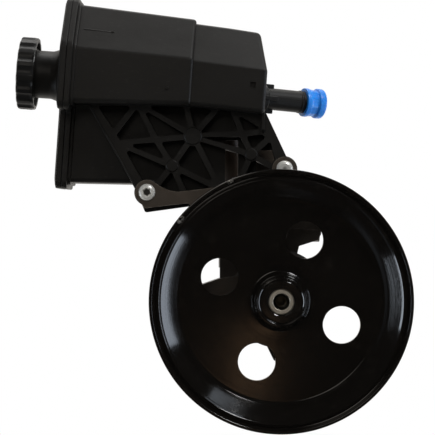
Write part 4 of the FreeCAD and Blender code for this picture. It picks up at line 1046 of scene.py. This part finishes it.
def lean_end(mesh, place, start):
    """Leans the upper part of the tank's right end inwards, from a place along the tank."""
    forth = TO_METRES @ place
    back = forth.inverted()
    for vert in mesh.vertices:
        local = back @ vert.co
        if local.x > start and local.z > LEAN_FOLD:
            share = min((local.x - start) / LEAN_RUN, 1.0)
            local.x -= (local.z - LEAN_FOLD) * END_LEAN * share
            vert.co = forth @ local


def flange_outline(margin):
    """The weld flange's outline, its corners well rounded."""
    return soften(tank_corners("left", -margin), 5.5, 6, {0: 2.5, 4: 9.0, 5: 9.0})


def make_reservoir():
    """Tank, flange, outlet socket, bosses and return tube: one moulding, hollow inside."""
    place = tank_frame()
    wide = lofted_box("wide", tank_corners("left"), tank_corners("step"), 0.0, 84.5, 3.4, 2.2,
                      place)
    narrow = lofted_box("narrow", narrow_corners("step"), narrow_corners("right"), 81.5, 134.5,
                        3.2, 2.8, place)
    lean_end(narrow, place, 120.0)
    flange = slab_mesh("flange", flange_outline(4.2), 0.0, 4.0, place, 0.7)
    bead = slab_mesh("bead", flange_outline(1.5), 3.4, 6.2, place, 0.9)
    tube = turned_mesh("tube", soften([
        (-6.0, 0), (-6.0, 9.6), (3.2, 9.6), (4.6, 7.5), (29.0, 7.5), (29.6, 7.9), (30.4, 7.9),
        (31.0, 7.5), (37.4, 7.5), (38.0, 6.9), (38.0, 0)], 0.35, 2, {0: 0, 10: 0}),
        return_frame(), 72)
    outlet = turned_mesh("outlet", [(110, 0), (110, 9.4), (110.6, 10), (133, 10), (133, 0)],
                         outlet_frame(), 64)
    shell = carve(wide, [narrow, flange, bead, tube, outlet], "UNION")
    inner_wide = lofted_box("inner_wide", tank_corners("left", TANK_WALL),
                            tank_corners("step", TANK_WALL), -1.0, 82.0, 1.4, 0.0, place)
    inner_narrow = lofted_box("inner_narrow", narrow_corners("step", TANK_WALL),
                              narrow_corners("right", TANK_WALL), 80.0, 132.0, 1.4, 0.0, place)
    lean_end(inner_narrow, place, 118.0)
    dimple = soften(oblong(-9.0, -3.9, -1.7, 2.4), 0.5, 3)
    voids = [
        inner_wide, inner_narrow, slab_mesh("dimple", dimple, 123.6, 127.2, place, 0.0),
        turned_mesh("outlet_bore", [(109, 0), (109, 7.6), (113, 7.6), (113, 5.6), (122, 5.6),
                                    (122, 4.4), (135, 4.4), (135, 0)],
                    outlet_frame(), 48),
        turned_mesh("return_bore", band(-12.0, 39.0, 0, 5.6), return_frame(), 48)]
    return carve(shell, voids)


def rib_details():
    """Small mouldings on the tank: parting line, pips, gusset and lugs at the return tube."""
    place = tank_frame()
    parts = []
    seam = [[(along, 1.6 + y, height + z) for y, z in circle(0.45, 10)]
            for along, height in ((9.5, 30.56), (29.7, 29.53))]
    parts.append(stacked_mesh("seam", seam, place))
    for low, high, y, w, width, tall in FRONT_MARKS:
        outline = soften(oblong(y - width / 2, y + width / 2, w - tall / 2, w + tall / 2), 0.3, 3)
        parts.append(slab_mesh("mark", outline, low, high, place, 0.25))
    lug = soften(oblong(-1.5, 1.5, 5.5, 10.1), 0.6, 3)
    lugs = 4
    for step in range(lugs):
        turn = Matrix.Rotation(math.tau * step / lugs, 4, "X")
        parts.append(slab_mesh("lug", lug, 0.0, 10.0, return_frame() @ turn, 0.5))
    gusset = soften([(5.0, 126.5), (19.0, 126.5), (19.0, 112.8), (8.0, 112.0), (5.0, 114.0)],
                    0.8, 3)
    parts.append(slab_mesh("gusset", gusset, -11.7, -9.5, None, 0.5))
    return parts


# The panel of ribs: its joints by name, (across, height), and what they bound

JOINTS = {
    "rim_top": (-126.5, 132.6), "rim_upper": (-112.0, 110.9), "rim_lower": (-108.6, 105.1),
    "top_second": (-95.7, 132.2), "cross": (-83.2, 107.5), "big_disc": (-58.1, 109.9),
    "low_disc": (-72.1, 89.7), "top_third": (-62.9, 131.6), "top_fourth": (-40.3, 130.0),
    "top_fifth": (-31.7, 129.0), "right_cross": (-24.9, 111.4), "wedge_corner": (-11.9, 117.2),
    "edge_meet": (-11.9, 112.8), "right_disc": (-18.6, 97.5), "right_rim": (-4.6, 110.2),
    "foot_left": (-88.9, 69.0), "foot_second": (-62.0, 66.5), "foot_third": (-39.8, 74.2),
    "foot_fourth": (-27.5, 77.5), "foot_right": (1.5, 85.5)}
WINDOWS = (
    ("rim_top", "top_second", "rim_upper"),
    ("rim_upper", "top_second", "cross", "rim_lower"),
    ("top_second", "big_disc", "cross"),
    ("top_second", "top_third", "big_disc"),
    ("top_third", "top_fourth", "big_disc"),
    ("top_fourth", "top_fifth", "right_cross", "big_disc"),
    ("top_fifth", "wedge_corner", "edge_meet", "right_cross"),
    ("right_cross", "edge_meet", "right_rim", "right_disc"),
    ("right_rim", "foot_right", "right_disc"),
    ("big_disc", "right_cross", "right_disc"),
    ("big_disc", "right_disc", "foot_fourth", "foot_third"),
    ("right_disc", "foot_right", "foot_fourth"),
    ("big_disc", "foot_third", "low_disc"),
    ("rim_lower", "cross", "low_disc"),
    ("cross", "big_disc", "low_disc"),
    ("rim_lower", "low_disc", "foot_left"),
    ("low_disc", "foot_second", "foot_left"),
    ("low_disc", "foot_third", "foot_second"))
PANEL_EDGE = (
    (-130.0, 132.8), (-95.8, 71.3), (-90.4, 58.2), (-60.0, 62.4), (-30.0, 68.5), (8.0, 79.5),
    (9.5, 91.0), (5.4, 95.5), (-8.6, 125.4), (-57.8, 131.2))
DISCS = {"big_disc": 6.6, "low_disc": 4.8, "right_disc": 4.8}
PANEL_BACK = 19.0
RIB_HALF = 1.95

# Openings of the web behind the ribs, (left, right, low, high)
WEB_OPENINGS = ((-36.4, -27.5, 60.0, 107.4), (-15.2, -2.6, 84.0, 100.6))


def window_outline(names):
    """An opening between ribs: moved in by half a rib, hollowed round the disc at a joint."""
    centres = [Vector(JOINTS[name]) for name in names]
    inset = [Vector(place) for place in shrunk([tuple(place) for place in centres], RIB_HALF)]
    count = len(inset)
    outline = []
    for index, name in enumerate(names):
        corner = inset[index]
        radius = DISCS.get(name)
        if radius is None or (corner - centres[index]).length >= radius:
            outline.append(tuple(corner))
            continue
        ends = []
        for neighbour in (inset[index - 1], inset[(index + 1) % count]):
            along = (neighbour - corner).normalized()
            offset = corner - centres[index]
            middle = offset.dot(along)
            reach = -middle + math.sqrt(max(middle ** 2 - offset.length_squared + radius ** 2, 0))
            ends.append(corner + along * reach)
        first, last = (end - centres[index] for end in ends)
        sweep = first.angle(last)
        for share in (0.0, 0.25, 0.5, 0.75, 1.0):
            outline.append(tuple(centres[index] + swung(first, last, sweep, share)))
    return outline


def make_panel():
    """The bracket's panel of ribs, grown from its outlines."""
    outlines = [PANEL_EDGE] + [window_outline(names) for names in WINDOWS]
    mesh = PANEL.grow("ribbed_panel", outlines_mesh("outlines", outlines), {
        "Corner Radius": 1.3, "Thickness": 11.0, "Corner Steps": 3})
    lift = Matrix(((1, 0, 0, 0), (0, 0, -1, PANEL_BACK), (0, 1, 0, 0), (0, 0, 0, 1)))
    mesh.transform(TO_METRES @ lift)
    return dressed_edges(welded(mesh, WELD), 0.45, 40, 2)


def make_floor_web():
    """Thin web that closes the panel behind its ribs, open at the tube and at the lug."""
    edge = [(across, -height) for across, height in shrunk(PANEL_EDGE, 1.4)]
    web = slab_mesh("web", edge, 16.9, 18.9, shaft_frame())
    cutters = []
    for left, right, low, high in WEB_OPENINGS:
        cutters.append(slab_mesh("web_opening", oblong(left, right, -low, -high), 14.0, 22.0,
                                 shaft_frame()))
    return carve(web, cutters)


def bracket_details():
    """Bosses for the screws, raised discs where ribs meet, and the bead on the left rail."""
    parts = []
    for across, height in SCREW_PLACES:
        section = soften([(8.0, 4.6), (8.0, 8.2), (8.8, 9.0), (25.2, 9.0), (26.0, 8.2), (26.0, 0),
                          (21.0, 0), (21.0, 4.6)], 0.3, 2, {5: 0, 6: 0})
        parts.append(turned_mesh("boss", section, screw_frame(across, height), 64))
    for name, hollow in DISCS.items():
        radius = hollow - 0.4
        section = soften([(7.3, 0), (7.3, radius - 0.8), (8.0, radius - 0.2), (19.2, radius - 0.2),
                          (19.2, 0)], 0.3, 3, {0: 0, 4: 0})
        parts.append(turned_mesh("disc", section, screw_frame(*JOINTS[name]), 48))
    parts.append(make_floor_web())
    rail = [(-129.0, 131.2), (-127.3, 130.2), (-93.9, 70.6), (-95.6, 71.6)]
    outline = soften([(across, -height) for across, height in rail], 0.4, 2)
    parts.append(slab_mesh("rail", outline, 6.6, 19.0, shaft_frame(), 0.5))
    return parts


def make_reservoir_body():
    """All that is moulded in one with the tank."""
    meshes = [make_reservoir(), make_panel()] + rib_details() + bracket_details()
    piece("reservoir_moulding", joined("reservoir", meshes), NYLON, "pump_body",
          ["reservoir_body"], 28)


def make_cover():
    """End cover: flange, raised panel and the filler neck, hollow behind."""
    place = tank_frame()
    flange = slab_mesh("cover", flange_outline(4.2), -4.0, 0.0, place, 0.7)
    bead = slab_mesh("cover_step", flange_outline(2.6), -4.5, -3.0, place, 0.5)
    panel = slab_mesh("cover_panel", soften(tank_corners("left", -1.0), 6.0, 6), -5.0, -3.0, place,
                      0.9, 4)
    neck = turned_mesh("neck", soften([
        (-31.0, 0), (-31.0, 15.9), (-30.6, 16.3), (-28.4, 16.3), (-12.0, 16.3), (-8.0, 17.6),
        (-4.8, 21.6), (-3.4, 21.6), (-3.4, 0)], 0.3, 2, {0: 0, 4: 5.0, 5: 3.0, 8: 0}),
        filler_frame(), 96)
    shell = carve(flange, [bead, panel, neck], "UNION")
    hollow = slab_mesh("hollow", soften(tank_corners("left", TANK_WALL), 2.0, 4), -2.6, 1.0, place)
    bore = turned_mesh("bore", [(-32, 0), (-32, 13.9), (-31, 13.5), (-1.0, 13.5), (-1.0, 0)],
                       filler_frame(), 96)
    mesh = carve(shell, [hollow, bore])
    turns = wound("neck_thread", filler_frame() @ Matrix.Translation((-27.5, 0, 0)),
                  16.3, 4.5, 1.5, 0.36, 4, 64)
    piece("reservoir_end_cover", joined("cover", [mesh, turns]), NYLON, "pump_body",
          ["reservoir_cover"], 28)


CAP_HOLLOWS = 16
HOLLOW_STEPS = 14
CAP_RADIUS = 24.8
HOLLOW_REACH = 3.15


def grip_ring(along, radius, depth):
    """One ring of the cap's grip: round with sixteen hollows of this depth."""
    ring = []
    steps = CAP_HOLLOWS * HOLLOW_STEPS
    for step in range(steps):
        angle = math.tau * step / steps
        turn = (step / HOLLOW_STEPS) % 1.0
        off = min(turn, 1.0 - turn) * math.tau / CAP_HOLLOWS * CAP_RADIUS
        dip = depth * max(0.0, 1.0 - (off / HOLLOW_REACH) ** 2) ** 0.8
        ring.append((along, (radius - dip) * math.cos(angle), (radius - dip) * math.sin(angle)))
    return ring


def make_cap():
    """Filler cap: scalloped grip, dished top and an inner sleeve."""
    levels = [(-34.6, 22.2, 0.9), (-34.5, 23.0, 1.0), (-34.2, 23.9, 1.15), (-33.7, 24.55, 1.3),
              (-33.0, CAP_RADIUS, 1.4), (-26.0, CAP_RADIUS, 1.4), (-24.9, CAP_RADIUS, 1.3),
              (-24.2, 24.6, 1.0),
              (-23.2, 24.6, 0.5), (-22.6, 24.3, 0.4)]
    body = stacked_mesh("cap", [grip_ring(*level) for level in levels], filler_frame())
    top = turned_mesh("cap_dish", soften([(-37.0, 0), (-37.0, 18.6), (-34.3, 18.6), (-34.1, 17.9),
                                          (-34.1, 0)], 0.3, 3, {0: 0, 4: 0}), filler_frame(), 96)
    inside = turned_mesh("cap_inside", band(-21.0, -33.0, 18.5, 21.4), filler_frame(), 96)
    over_neck = turned_mesh("cap_sleeve", band(-21.0, -33.0, 0, 16.7), filler_frame(), 96)
    trim = turned_mesh("cap_trim", band(-24.5, -21.0, 16.0, 22.0), filler_frame(), 96)
    mesh = carve(body, [top, inside, over_neck, trim])
    piece("filler_cap_grip", mesh, CAP_PLASTIC, "filler_cap", ["filler_cap"],
          24)


def make_cap_seal():
    """Flat ring between cap and neck."""
    mesh = turned_mesh("cap_ring", soften(band(-32.95, -31.0, 13.9, 16.3), 0.5, 4),
                       filler_frame(), 96)
    piece("cap_seal_ring", mesh, RUBBER, "filler_seal", ["cap_seal"], 30)


def make_dipstick():
    """Dipstick: collar, rod and a flattened tip with two level notches."""
    rod = turned_mesh("rod", soften([(-33.0, 0), (-33.0, 4.6), (-29.0, 4.6), (-28.0, 2.2),
                                     (50.9, 2.2), (54.0, 0)], 0.4, 2, {0: 0, 5: 0}),
                      filler_frame(), 48)
    cutters = []
    for low, high in ((-4.0, -1.2), (1.2, 4.0)):
        cutters.append(slab_mesh("flat", oblong(low, high, -4.0, 4.0), 28.0, 56.0,
                                 filler_frame()))
    for along in (34.0, 45.0):
        for height in (-2.6, 2.6):
            notch = oblong(-3.0, 3.0, height - 0.9, height + 0.9)
            cutters.append(slab_mesh("notch", notch, along, along + 1.4, filler_frame()))
    mesh = dressed_edges(carve(rod, cutters), 0.18, 40, 2)
    piece("dipstick_rod", mesh, NATURAL, "filler_cap", ["dipstick"], 30)


FACETS = 10
FACET_STEPS = 12
FACET_REACH = 0.972


def facet_ring(along, radius, share):
    """A ring round an axis, part of the way from round to ten soft facets."""
    ring = []
    for step in range(FACETS * FACET_STEPS):
        angle = math.tau * step / (FACETS * FACET_STEPS)
        off = (angle + math.pi / FACETS) % (math.tau / FACETS) - math.pi / FACETS
        flat = radius * FACET_REACH / math.cos(off)
        reach = radius + share * (min(flat, radius) - radius)
        ring.append((along, reach * math.cos(angle), reach * math.sin(angle)))
    return ring


def tube_mesh(name, rings, place):
    """A skin over closed rings, the last of them joined to the first."""
    points = [point for ring in rings for point in ring]
    count = len(rings[0])
    faces = []
    for level in range(len(rings)):
        other = (level + 1) % len(rings)
        if any(Vector(rings[end][0][1:]).length > TINY for end in (level, other)):
            faces += belt(level, other, count)
    return mesh_of(name, points, faces, place)


def make_dust_cap():
    """Push-on cap: a collar at its mouth, a faceted grip and a heavier rim at its closed end."""
    levels = [(32.9, 7.6, 0), (32.9, 9.3, 0), (33.05, 9.7, 0), (33.5, 9.9, 0), (35.6, 9.9, 0),
              (36.2, 9.75, 0.2), (36.7, 9.5, 0.8), (37.6, 9.35, 1), (39.6, 9.15, 1),
              (40.6, 8.95, 0.8), (41.4, 8.9, 0.3), (41.9, 9.3, 0), (42.1, 9.9, 0), (42.5, 10.25, 0),
              (43.2, 10.35, 0), (45.6, 10.35, 0), (46.5, 10.1, 0), (47.1, 9.5, 0), (47.4, 8.6, 0),
              (47.5, 7.0, 0), (47.5, 0.0, 0)]
    rings = [facet_ring(*level) for level in levels]
    inner = [(45.9, 0.0, 0), (45.9, 7.2, 0), (45.5, 7.6, 0)]
    rings += [facet_ring(*level) for level in inner]
    mesh = tube_mesh("dust_cap", rings, return_frame())
    piece("dust_cap_sleeve", mesh, BLUE_PLASTIC, "dust_cap", ["return_dust_cap"],
          30)


# Screws, inserts and seals


def star_outline(radius, lobe):
    """Six round lobes about a centre."""
    points = []
    steps, lobes = 72, 6
    for step in range(steps):
        angle = math.tau * step / steps
        reach = radius + lobe * math.cos(lobes * angle)
        points.append((reach * math.cos(angle), reach * math.sin(angle)))
    return points


def make_screws():
    """Two pan-head screws with a star recess, a washer face and a rolled thread."""
    meshes = []
    for number, (across, height) in enumerate(SCREW_PLACES):
        place = screw_frame(across, height) @ Matrix.Rotation(0.4 + number * 0.5, 4, "X")
        section = soften([
            (-3.8, 0), (-3.8, 3.3), (-3.0, 4.9), (-1.5, 5.45), (-1.1, 5.6), (0, 5.6), (0, 2.62),
            (18.4, 2.62), (20.0, 1.6), (20.0, 0)], 0.5, 4, {0: 0, 2: 1.4, 5: 0.2, 6: 0, 9: 0})
        head = turned_mesh("screw", section, place, 72)
        recess = slab_mesh("recess", star_outline(2.5, 0.42), -4.5, -1.3, place)
        rim = turned_mesh("recess_rim", [(-4.4, 0), (-4.4, 3.5), (-3.4, 2.6), (-3.4, 0)], place, 48)
        turns = wound("screw_thread", place @ Matrix.Translation((3.0, 0, 0)), 2.66, 15.5,
                      15.5, 0.36, 3, 24)
        meshes += [carve(head, [recess, rim]), turns]
    piece("reservoir_pan_screws", joined("screws", meshes), ZINC, "pump_body",
          ["reservoir_screws"], 28)


# Peaks and valleys of the inserts' knurling, counted together
KNURL_STEPS = 64


def make_inserts():
    """Brass inserts in the bosses, knurled outside."""
    meshes = []
    for across, height in SCREW_PLACES:
        rings = []
        for along, low, high in ((8.0, 4.2, 4.3), (8.6, 4.35, 4.6), (13.0, 4.35, 4.6),
                                 (13.4, 4.0, 4.0), (15.4, 4.0, 4.0), (15.8, 4.35, 4.6),
                                 (20.4, 4.35, 4.6), (21.0, 4.2, 4.3)):
            valleys, peaks = circle(low, KNURL_STEPS), circle(high, KNURL_STEPS)
            rings.append([(along, *(valleys if step % 2 else peaks)[step])
                          for step in range(KNURL_STEPS)])
        body = stacked_mesh("insert", rings, screw_frame(across, height))
        bore = turned_mesh("insert_bore", band(7, 22, 0, 3.0), screw_frame(across, height), 48)
        meshes.append(carve(body, [bore]))
    piece("knurled_inserts", joined("inserts", meshes), BRASS, "pump_body",
          ["threaded_inserts"], 24)


def turned_piece(name, profile, place, finish, node, steps=96, corner=0.3, special=None):
    """A turned piece of the pump's body that stands for one node."""
    mesh = turned_mesh(node, soften(profile, corner, 3, special), place, steps)
    piece(name, mesh, finish, "pump_body", [node], 30)


def wire_section(along, radius, half):
    """The round section of a ring of wire, (along, radius)."""
    return [(along + y, radius + z) for y, z in circle(half, 12)]


# The retaining ring is open: degrees of a turn that its wire takes up
RING_SWEEP = 344.0


def make_shaft_fittings():
    """Lip seal, bush, end cover, its seal ring, the spring washer and the retaining ring."""
    shaft = shaft_frame()
    turned_piece("lip_seal", [
        (-8.0, 10.15), (-8.0, 14.0), (-1.0, 14.0), (-1.0, 12.6), (-6.0, 12.6), (-6.0, 10.95),
        (-2.6, 9.75), (-3.6, 8.55), (-6.8, 9.35)], shaft, RUBBER, "shaft_seal")
    turned_piece("front_bush", band(-1.0, 17.0, 8.55, 10.5), shaft, BRONZE, "shaft_bush")
    turned_piece("rear_cover_plate", [
        (50.0, 0), (50.0, 26.9), (51.6, 26.9), (51.6, 25.0), (53.9, 25.0), (53.9, 26.9),
        (55.5, 26.9), (55.5, 20.9), (54.0, 18.9), (54.0, 9.0), (53.4, 7.4), (53.4, 0)], shaft,
        COVER_STEEL, "end_cover", steps=128, corner=0.5,
        special={0: 0, 11: 0, 7: 1.2, 8: 1.5, 9: 1.0, 10: 1.0})
    mesh = turned_mesh("cover_ring", wire_section(52.75, 26.0, 1.0), shaft, 128)
    piece("cover_seal_ring", mesh, RUBBER, "pump_body", ["end_cover_seal"], 60)
    mesh = turned_mesh("ring_wire", wire_section(56.4, 27.3, 0.9), shaft, 120, RING_SWEEP)
    piece("retaining_ring_wire", mesh, SPRING_STEEL, "pump_body", ["retaining_ring"],
          60)
    turned_piece("coned_spring_washer", [
        (46.0, 12.0), (46.0, 13.0), (48.8, 20.0), (50.0, 20.0), (50.0, 19.0), (47.2, 12.0)], shaft,
        SPRING_STEEL, "pressure_plate_spring", corner=0.2)


def make_suction_parts():
    """Tube from the tank to the pump, with the ring that seals it."""
    turned_piece("suction_pipe", [
        (60.0, 4.4), (60.0, 5.6), (74.2, 5.6), (75.0, 6.3), (76.2, 6.3), (77.0, 5.6), (122.0, 5.6),
        (122.0, 4.4)], outlet_frame(), TUBE, "suction_tube",
        steps=72, corner=0.4)
    turned_piece("suction_ring_seal", band(110.0, 113.0, 5.6, 7.6), outlet_frame(), RUBBER,
                 "suction_seal", steps=64, corner=0.6)


def spring_span():
    """Where the spring starts and ends along the valve bore, in metres."""
    low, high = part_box("flow_valve_spring")
    return low[0], high[0]


def make_valve_parts():
    """Pressure fitting with its seal, and the valve spring."""
    place = valve_frame()
    half_flats = 10.0
    flats = circle(half_flats / math.cos(math.pi / 6), 6)
    hexagon = slab_mesh("hexagon", flats, -53.2, -44.2, place)
    corners = turned_mesh("corners", [(-53.2, 0), (-53.2, 9.6), (-51.9, 11.6), (-45.4, 11.6),
                                      (-44.2, 9.9), (-44.2, 0)], place, 96)
    hexagon = carve(hexagon, [corners], "INTERSECT")
    stem = turned_mesh("stem", soften([
        (-45.0, 0), (-45.0, 8.6), (-40.0, 8.6), (-40.0, 7.1), (-29.0, 7.1), (-28.0, 6.4),
        (-28.0, 0)], 0.3, 2, {0: 0, 6: 0}), place, 72)
    port = turned_mesh("port", [(-54.2, 0), (-54.2, 6.1), (-53.2, 5.9), (-52.4, 5.1), (-41.2, 5.1),
                                (-39.7, 3.0), (-27.0, 3.0), (-27.0, 0)], place, 72)
    body = carve(carve(hexagon, [stem], "UNION"), [port])
    turns = wound("stem_thread", place @ Matrix.Translation((-39.0, 0, 0)), 7.12, 9.4, 6.3,
                  0.40, 3, 36)
    inner = wound("port_thread", place @ Matrix.Translation((-52.0, 0, 0)), 5.12, 10.0, 6.7,
                  0.38, 3, 32)
    piece("outlet_fitting", joined("fitting", [body, turns, inner]), ZINC, "pump_body",
          ["pressure_fitting"], 28)
    turned_piece("outlet_fitting_seal", oblong(-43.9, -40.0, 8.6, 10.2), place, RUBBER,
                 "pressure_fitting_seal", steps=64, corner=0.5)
    low, high = (corner / MM for corner in spring_span())
    wire = 0.7
    mesh = wound("valve_spring", place @ Matrix.Translation((low + wire, 0, 0)), 3.35,
                 high - low - 2 * wire, 6.0, wire, 10, 36)
    piece("valve_spring_coil", mesh, SPRING_STEEL, "pump_body", ["flow_valve_spring"],
          60)


# Tapped holes in the casting's pads, (across, height, depth), and their thread's pitch
MOUNT_HOLES = ((-46.0, -6.0, 13.0), (8.0, -42.0, 14.0), (-4.0, 46.0, 12.0))
MOUNT_PITCH = 1.25


def make_housing():
    """The casting, its edges rounded, with threads in the three mounting holes."""
    mesh = dressed_edges(copied_solid("pump_housing"), 1.3, 35, 3)
    foot = soften([(-3.0, 25.0), (-9.0, 27.0), (-8.0, 32.5), (-3.6, 41.5), (4.0, 42.5),
                   (4.0, 26.0)], 1.2, 3)
    meshes = [mesh, slab_mesh("foot", foot, 1.5, 14.5, shaft_frame(), 0.8)]
    for across, height, depth in MOUNT_HOLES:
        place = screw_frame(across, height) @ Matrix.Translation((0.8, 0, 0))
        length = depth - 2.0
        meshes.append(wound("mount_thread", place, 3.42, length, length / MOUNT_PITCH, 0.34, 3, 28))
    piece("pump_casting", joined("housing", meshes), CASTING, "pump_body",
          ["pump_housing"], 28)


def dress_node(node, finish):
    """A finish on a solid that is kept as it is."""
    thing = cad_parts[node]
    for slot in thing.material_slots:
        slot.material = finish
    if not thing.material_slots:
        thing.data.materials.append(finish)


def make_screen():
    """Cup of fine mesh over the outlet: rings of small windows in its wall."""
    place = outlet_frame(OUTLET_FLOOR)
    cup = turned_mesh("cup", soften([
        (12.8, 0), (12.8, 7.8), (0, 7.8), (0, 9.0), (13.4, 9.0), (14.0, 8.4), (14.0, 0)], 0.2, 2,
        {0: 0, 6: 0}), place, 96)
    slots = SLOTS.grow("screen_slots", bpy.data.meshes.new("slots"), {
        "Columns": 14, "Rows": 3, "Radius": 8.4, "First Height": 2.8, "Row Pitch": 3.6,
        "Width": 2.2, "Height": 2.4, "Depth": 3.0})
    slots.transform(TO_METRES @ Matrix.Translation((OUTLET_ACROSS, OUTLET_DEPTH, OUTLET_FLOOR)))
    piece("outlet_screen_cup", carve(cup, [slots]), NATURAL, "pump_body", ["outlet_screen"],
          30)


# Put together

make_pulley()
make_hub()
make_shaft()
make_reservoir_body()
make_cover()
make_cap()
make_cap_seal()
make_dipstick()
make_dust_cap()
make_screws()
make_inserts()
make_shaft_fittings()
make_suction_parts()
make_valve_parts()
make_housing()
make_screen()

KEPT_SOLIDS = {
    "thrust_plate": STEEL, "cam_ring": STEEL, "rotor": STEEL, "pressure_plate": STEEL,
    "upper_dowel_pin": STEEL, "lower_dowel_pin": STEEL, "flow_valve_spool": VALVE_STEEL}
KEPT_SOLIDS.update({"vane_%02d" % (number + 1): STEEL for number in range(10)})
for node_name, node_finish in KEPT_SOLIDS.items():
    dress_node(node_name, node_finish)


# Studio: camera, lamps, backdrop and floor


def look(thing, place, target):
    """Puts a lamp at a place, facing a target, both in metres."""
    thing.location = place
    thing.rotation_euler = (Vector(target) - Vector(place)).to_track_quat("-Z", "Y").to_euler()


def softbox(name, place, target, across, tall, power, colour):
    """A rectangular lamp that the camera doesn't see."""
    lamp = bpy.data.lights.new(name, "AREA")
    lamp.shape = "RECTANGLE"
    lamp.size = across
    lamp.size_y = tall
    lamp.energy = power
    lamp.color = colour
    thing = shown(name, lamp)
    thing.visible_camera = False
    look(thing, place, target)


def set_camera():
    """The photograph's view: level, straight along the shaft, from about 1.1 metres."""
    eye = bpy.data.cameras.new("camera")
    eye.sensor_width = SENSOR_WIDTH
    eye.lens = FOCAL_PIXELS / PHOTO_PIXELS * SENSOR_WIDTH
    thing = shown("camera", eye)
    thing.location = CAMERA_PLACE
    thing.rotation_euler = (math.radians(90), 0, 0)
    bpy.context.scene.camera = thing


def set_backdrop():
    """White to the camera, and a dim room to gloss, so that black paint stays dark.

    Gloss sees the white only far behind the object. Everything else is lit by a soft
    light that grows from below to above.
    """
    world = bpy.data.worlds.new("studio")
    bpy.context.scene.world = world
    world.use_nodes = True
    world.node_tree.nodes.clear()
    tree = Nodes(world.node_tree)
    path = tree.add("ShaderNodeLightPath")
    where = tree.add("ShaderNodeTexCoord")
    parts = tree.add("ShaderNodeSeparateXYZ")
    behind = tree.fill(tree.add("ShaderNodeMapRange"), From_Min=0.20, From_Max=0.70,
                       To_Min=FRONT_DIM, To_Max=1.0)
    above = tree.fill(tree.add("ShaderNodeMapRange"), From_Min=-0.1, From_Max=0.9,
                      To_Min=LOW_LIGHT, To_Max=HIGH_LIGHT)
    white = tree.fill(tree.add("ShaderNodeBackground"), Color=(1, 1, 1, 1), Strength=1.0)
    room = tree.fill(tree.add("ShaderNodeBackground"), Color=(1.0, 0.985, 0.96, 1))
    dim = tree.fill(tree.add("ShaderNodeBackground"), Color=(1.0, 0.96, 0.90, 1))
    seen = tree.add("ShaderNodeMath", operation="MAXIMUM")
    shiny = tree.add("ShaderNodeMixShader")
    both = tree.add("ShaderNodeMixShader")
    out = tree.add("ShaderNodeOutputWorld")
    tree.wire((where, "Generated", parts, "Vector"),
              (parts, "Y", behind, "Value"),
              (behind, "Result", dim, "Strength"),
              (parts, "Z", above, "Value"),
              (above, "Result", room, "Strength"),
              (path, "Is Camera Ray", seen, 0),
              (path, "Is Transmission Ray", seen, 1),
              (path, "Is Glossy Ray", shiny, "Fac"),
              (room, "Background", shiny, 1),
              (dim, "Background", shiny, 2),
              (seen, "Value", both, "Fac"),
              (shiny, "Shader", both, 1),
              (white, "Background", both, 2),
              (both, "Shader", out, "Surface"))


def set_floor():
    """Plain pale floor, well below the pump, that gloss doesn't see."""
    mesh = bpy.data.meshes.new("floor")
    corners = oblong(FLOOR_NEAR, -FLOOR_NEAR, FLOOR_NEAR, FLOOR_FAR)
    mesh.from_pydata([(across, depth, FLOOR) for across, depth in corners], [], [(0, 1, 2, 3)])
    paint = bpy.data.materials.new("pale_floor")
    paint.use_nodes = True
    Nodes(paint.node_tree).fill(paint.node_tree.nodes["Principled BSDF"],
                                Base_Color=(0.86, 0.85, 0.83, 1.0), Roughness=0.9)
    mesh.materials.append(paint)
    thing = shown("floor", mesh)
    thing.visible_glossy = False


# The photograph's width and focal length in pixels, and where it was taken from, in metres
PHOTO_PIXELS = 435.0
FOCAL_PIXELS = 1694.0
SENSOR_WIDTH = 36.0
CAMERA_PLACE = (-0.0415, -1.138, 0.0548)

# Strengths of the room's light: below, above, and in front as gloss sees it
LOW_LIGHT = 0.03
HIGH_LIGHT = 0.50
FRONT_DIM = 0.012

# The floor's height, front edge and back edge, in metres
FLOOR = -0.65
FLOOR_NEAR = -9.0
FLOOR_FAR = 3.4

# Name, place, target, width, height, power and colour of each lamp
LAMPS = (
    ("overhead", (-0.10, 0.26, 0.95), (-0.06, 0.02, 0.12), 0.9, 0.42, 3.6, (1.0, 0.99, 0.97)),
    ("right_strip", (0.90, -0.14, -0.13), (0.0, -0.03, 0.0), 0.32, 0.90, 3.8, (0.78, 0.87, 1.0)),
    ("left_strip", (-0.90, -0.14, -0.12), (0.0, -0.03, 0.0), 0.16, 0.60, 1.9, (0.80, 0.89, 1.0)),
    ("upper_right", (0.45, -0.12, 0.72), (0.0, -0.03, 0.0), 0.22, 0.30, 0.3, (0.82, 0.90, 1.0)),
    ("front_fill", (-0.35, -1.3, 0.6), (-0.04, 0.0, 0.06), 0.5, 0.5, 1.3, (1.0, 0.93, 0.84)),
    ("floor_wash", (0.0, 0.0, -0.14), (0.0, 0.001, -1.0), 3.0, 3.0, 11.0, (1.0, 1.0, 1.0)),
    ("high_fill", (0.50, -0.55, 1.00), (-0.08, 0.0, 0.10), 0.30, 0.25, 5.2, (1.0, 1.0, 1.0)),
    ("low_glow", (0.01, -1.6, -0.18), (0.0, -0.03, -0.02), 0.05, 0.13, 0.017, (1.0, 0.60, 0.34)),
)

set_camera()
set_backdrop()
set_floor()
for lamp in LAMPS:
    softbox(*lamp)

bpy.context.scene.view_settings.view_transform = "Standard"
